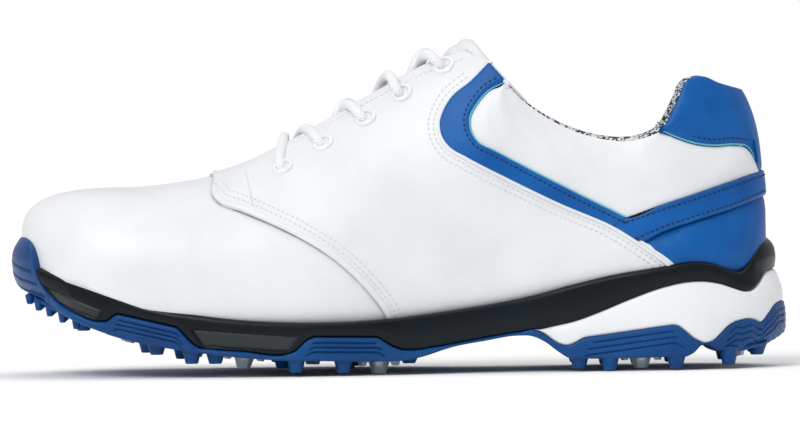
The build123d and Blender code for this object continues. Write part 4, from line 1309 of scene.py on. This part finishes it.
def surface_line(points, out, inner_side=False, heel=False):
    """3-D points and outward directions along a side-view line."""
    pairs = on_side(points)
    if heel:
        pairs = around_heel(pairs)
        return heel_point(pairs[:, 0], pairs[:, 1], out), surface_axes(pairs[:, 0], pairs[:, 1])[1]
    pairs = mirrored(pairs, inner_side)
    here = upper_point(pairs[:, 0], pairs[:, 1], out)
    outward = upper_point(pairs[:, 0], pairs[:, 1], out + 1) - here
    return here, outward / np.linalg.norm(outward, axis=1)[:, None]


def trim(name, points, out, radius, material, flat=1.0, inner_side=False, heel=False):
    path, outward = surface_line(resample(points, 120), out, inner_side, heel)
    return finish_piece(tube(name, path, radius, 8, flat, outward), material)


for side, inner in (("lateral", False), ("medial", True)):
    trim(f"{side}_saddle_fold", shifted(SADDLE_SEAM, 1.1),
         0.9, 1.45, WHITE_LEATHER, 0.5, inner)
    trim(f"{side}_hook_piping", shifted(HOOK_OUTER, -0.3),
         1.5, 0.75, WHITE_LEATHER, 1.0, inner)
    trim(f"{side}_hook_cut_edge", shifted(HOOK_INNER, 0.2),
         1.35, 0.34, EDGE_PAINT, 1.0, inner)
trim("collar_cut_edge", COLLAR_BACK_LOW + [(139.2, 74.0)], 1.25, 0.36, EDGE_PAINT,
     1.0, heel=True)
print("trim made")

# %% [markdown]
# The stitches are one small bead repeated along every seam by Geometry Nodes: the seam's line is
# resampled at the stitch pitch and a bead is laid along it. Real stitches here are about 2 mm
# long, three or four to the centimetre, and stand a little proud of the leather.

# %% Stitches by Geometry Nodes


def stitch_tree(sizes):
    tree, given, result = geometry_tree("seam_stitches", sizes)
    line = add_node(tree, "GeometryNodeMeshToCurve", None, {"Mesh": given.outputs["Geometry"]})
    spots = add_node(tree, "GeometryNodeResampleCurve", {"mode": "LENGTH"},
                     {"Curve": line.outputs["Curve"], "Length": given.outputs["Pitch"]})
    bead = add_node(tree, "GeometryNodeMeshUVSphere", None, {"Segments": 8, "Rings": 5, "Radius": 0.5})
    size = add_node(tree, "ShaderNodeCombineXYZ", None,
                    {"X": given.outputs["Width"], "Y": given.outputs["Width"], "Z": given.outputs["Length"]})
    tangent = add_node(tree, "GeometryNodeInputTangent")
    turned = add_node(tree, "FunctionNodeAlignEulerToVector", {"axis": "Z"},
                      {"Vector": tangent.outputs["Tangent"]})
    placed = add_node(tree, "GeometryNodeInstanceOnPoints", None, {
        "Points": spots.outputs["Curve"], "Instance": bead.outputs["Mesh"],
        "Rotation": turned.outputs["Rotation"], "Scale": size.outputs["Vector"]})
    real = add_node(tree, "GeometryNodeRealizeInstances", None, {"Geometry": placed.outputs["Instances"]})
    coat = add_node(tree, "GeometryNodeSetMaterial", None, {
        "Geometry": real.outputs["Geometry"], "Material": given.outputs["Thread"]})
    tree.links.new(coat.outputs["Geometry"], result.inputs["Geometry"])
    return tree


def sew(name, lines, thread, length=1.5, pitch=2.1, width=0.62):
    """Every line of one thread becomes one piece."""
    vertices, edges = [], []
    for path in lines:
        start = len(vertices)
        vertices += (path * MM).tolist()
        edges += [(start + k, start + k + 1) for k in range(len(path) - 1)]
    mesh = bpy.data.meshes.new(name)
    mesh.from_pydata(vertices, edges, [])
    seam = bpy.data.objects.new(name, mesh)
    bpy.context.scene.collection.objects.link(seam)
    sizes = {"Length": length * MM, "Pitch": pitch * MM, "Width": width * MM, "Thread": thread}
    stitches = run_tree(seam, stitch_tree(sizes), sizes)
    finish_piece(stitches, thread)
    print(name, len(stitches.data.polygons) // 40, "stitches")


def seam_path(points, out, inner_side=False, heel=False):
    return surface_line(points, out, inner_side, heel)[0]


ON_WHITE = 1.25
PATCH_SEAM = [(-58.5, 77.8), (-57.3, 73), (-55.4, 65)]
for side, inner in (("lateral", False), ("medial", True)):
    edge = mirrored(throat_edge(90)[6:] - [0, 7.0], inner)
    white = [seam_path(shifted(outline[1:], distance), ON_WHITE, inner)
             for outline, distance in ((SADDLE_SEAM, 3.6), (SADDLE_SEAM, 5.6), (HOOK_OUTER, -2.2), (HOOK_OUTER, -4.2))]
    white += [seam_path(resample(PATCH_SEAM, 30), ON_WHITE, inner), upper_point(edge[:, 0], edge[:, 1], ON_WHITE)]
    sew(f"{side}_white_stitching", white, WHITE_THREAD)
    navy = [seam_path(shifted(HOOK_INNER, -1.9)[5:], 2.3, inner)]
    sew(f"{side}_navy_stitching", navy, NAVY_THREAD)
heel_lines = [seam_path(shifted(COUNTER_TOP, -1.9), 2.05, heel=True),
              seam_path(shifted(COUNTER_SEAM, 1.8), 2.05, heel=True),
              seam_path(shifted(COLLAR_BACK_LOW[:6] + [(137.0, 84.8)], 2.0), 1.75, heel=True)]
sew("heel_navy_stitching", heel_lines, NAVY_THREAD)


# %% [markdown]
# The stage is a white floor under a plain sky, with one wide soft lamp from the front left and a
# weaker one above. The camera looks at the outer side from a little above the
# ground with a long lens, so the sole shows as a nearly straight profile.

# %% Stage, lights and camera
LOOK_AT = (0.0009, 0.0, 0.0609)
CAMERA_DISTANCE = 3.45
CAMERA_ELEVATION = math.radians(1.2)
CAMERA_ROLL = math.radians(-0.80)


def build_stage():
    floor = grid_object("floor", np.array([[(-3000, -3000, -0.2), (3000, -3000, -0.2)],
                                           [(-3000, 3000, -0.2), (3000, 3000, -0.2)]], float), flip=True)
    paper = new_material("white_paper", Base_Color=linear("#FFFFFF"), Roughness=0.9)[0]
    floor.data.materials.append(paper)


def sun(name, direction, strength, softness):
    """An even lamp: it lights the whole floor alike, and its wide disc makes soft shadows."""
    data = bpy.data.lights.new(name, "SUN")
    data.energy = strength
    data.angle = math.radians(softness)
    lamp = bpy.data.objects.new(name, data)
    bpy.context.scene.collection.objects.link(lamp)
    lamp.rotation_euler = Vector(direction).to_track_quat("-Z", "Y").to_euler()


def build_sky(seen, lighting):
    """White where the camera looks past the shoe, dimmer as a light, so that shapes keep their shade."""
    world = bpy.data.worlds.new("studio")
    world.use_nodes = True
    tree = world.node_tree
    ray = add_node(tree, "ShaderNodeLightPath")
    bright = add_node(tree, "ShaderNodeBackground", None, {"Color": (1, 1, 1, 1), "Strength": seen})
    dim = add_node(tree, "ShaderNodeBackground", None, {"Color": (1, 1, 1, 1), "Strength": lighting})
    both = add_node(tree, "ShaderNodeMixShader", None,
                    {0: ray.outputs["Is Camera Ray"], 1: dim.outputs[0], 2: bright.outputs[0]})
    tree.links.new(both.outputs[0], tree.nodes["World Output"].inputs["Surface"])
    bpy.context.scene.world = world


def build_camera():
    data = bpy.data.cameras.new("camera")
    data.lens = 400
    camera = bpy.data.objects.new("camera", data)
    bpy.context.scene.collection.objects.link(camera)
    camera.location = (LOOK_AT[0], -CAMERA_DISTANCE * math.cos(CAMERA_ELEVATION),
                       LOOK_AT[2] + CAMERA_DISTANCE * math.sin(CAMERA_ELEVATION))
    turn = Matrix.Rotation(math.pi / 2 - CAMERA_ELEVATION, 4, "X") @ Matrix.Rotation(CAMERA_ROLL, 4, "Z")
    camera.rotation_euler = turn.to_euler()
    bpy.context.scene.camera = camera


build_stage()
sun("key", (0.40, 0.62, -0.67), 1.6, 36)
sun("top", (-0.25, -0.15, -0.95), 0.75, 60)
build_sky(1.0, 0.5)
bpy.context.scene.view_settings.view_transform = "Standard"
build_camera()
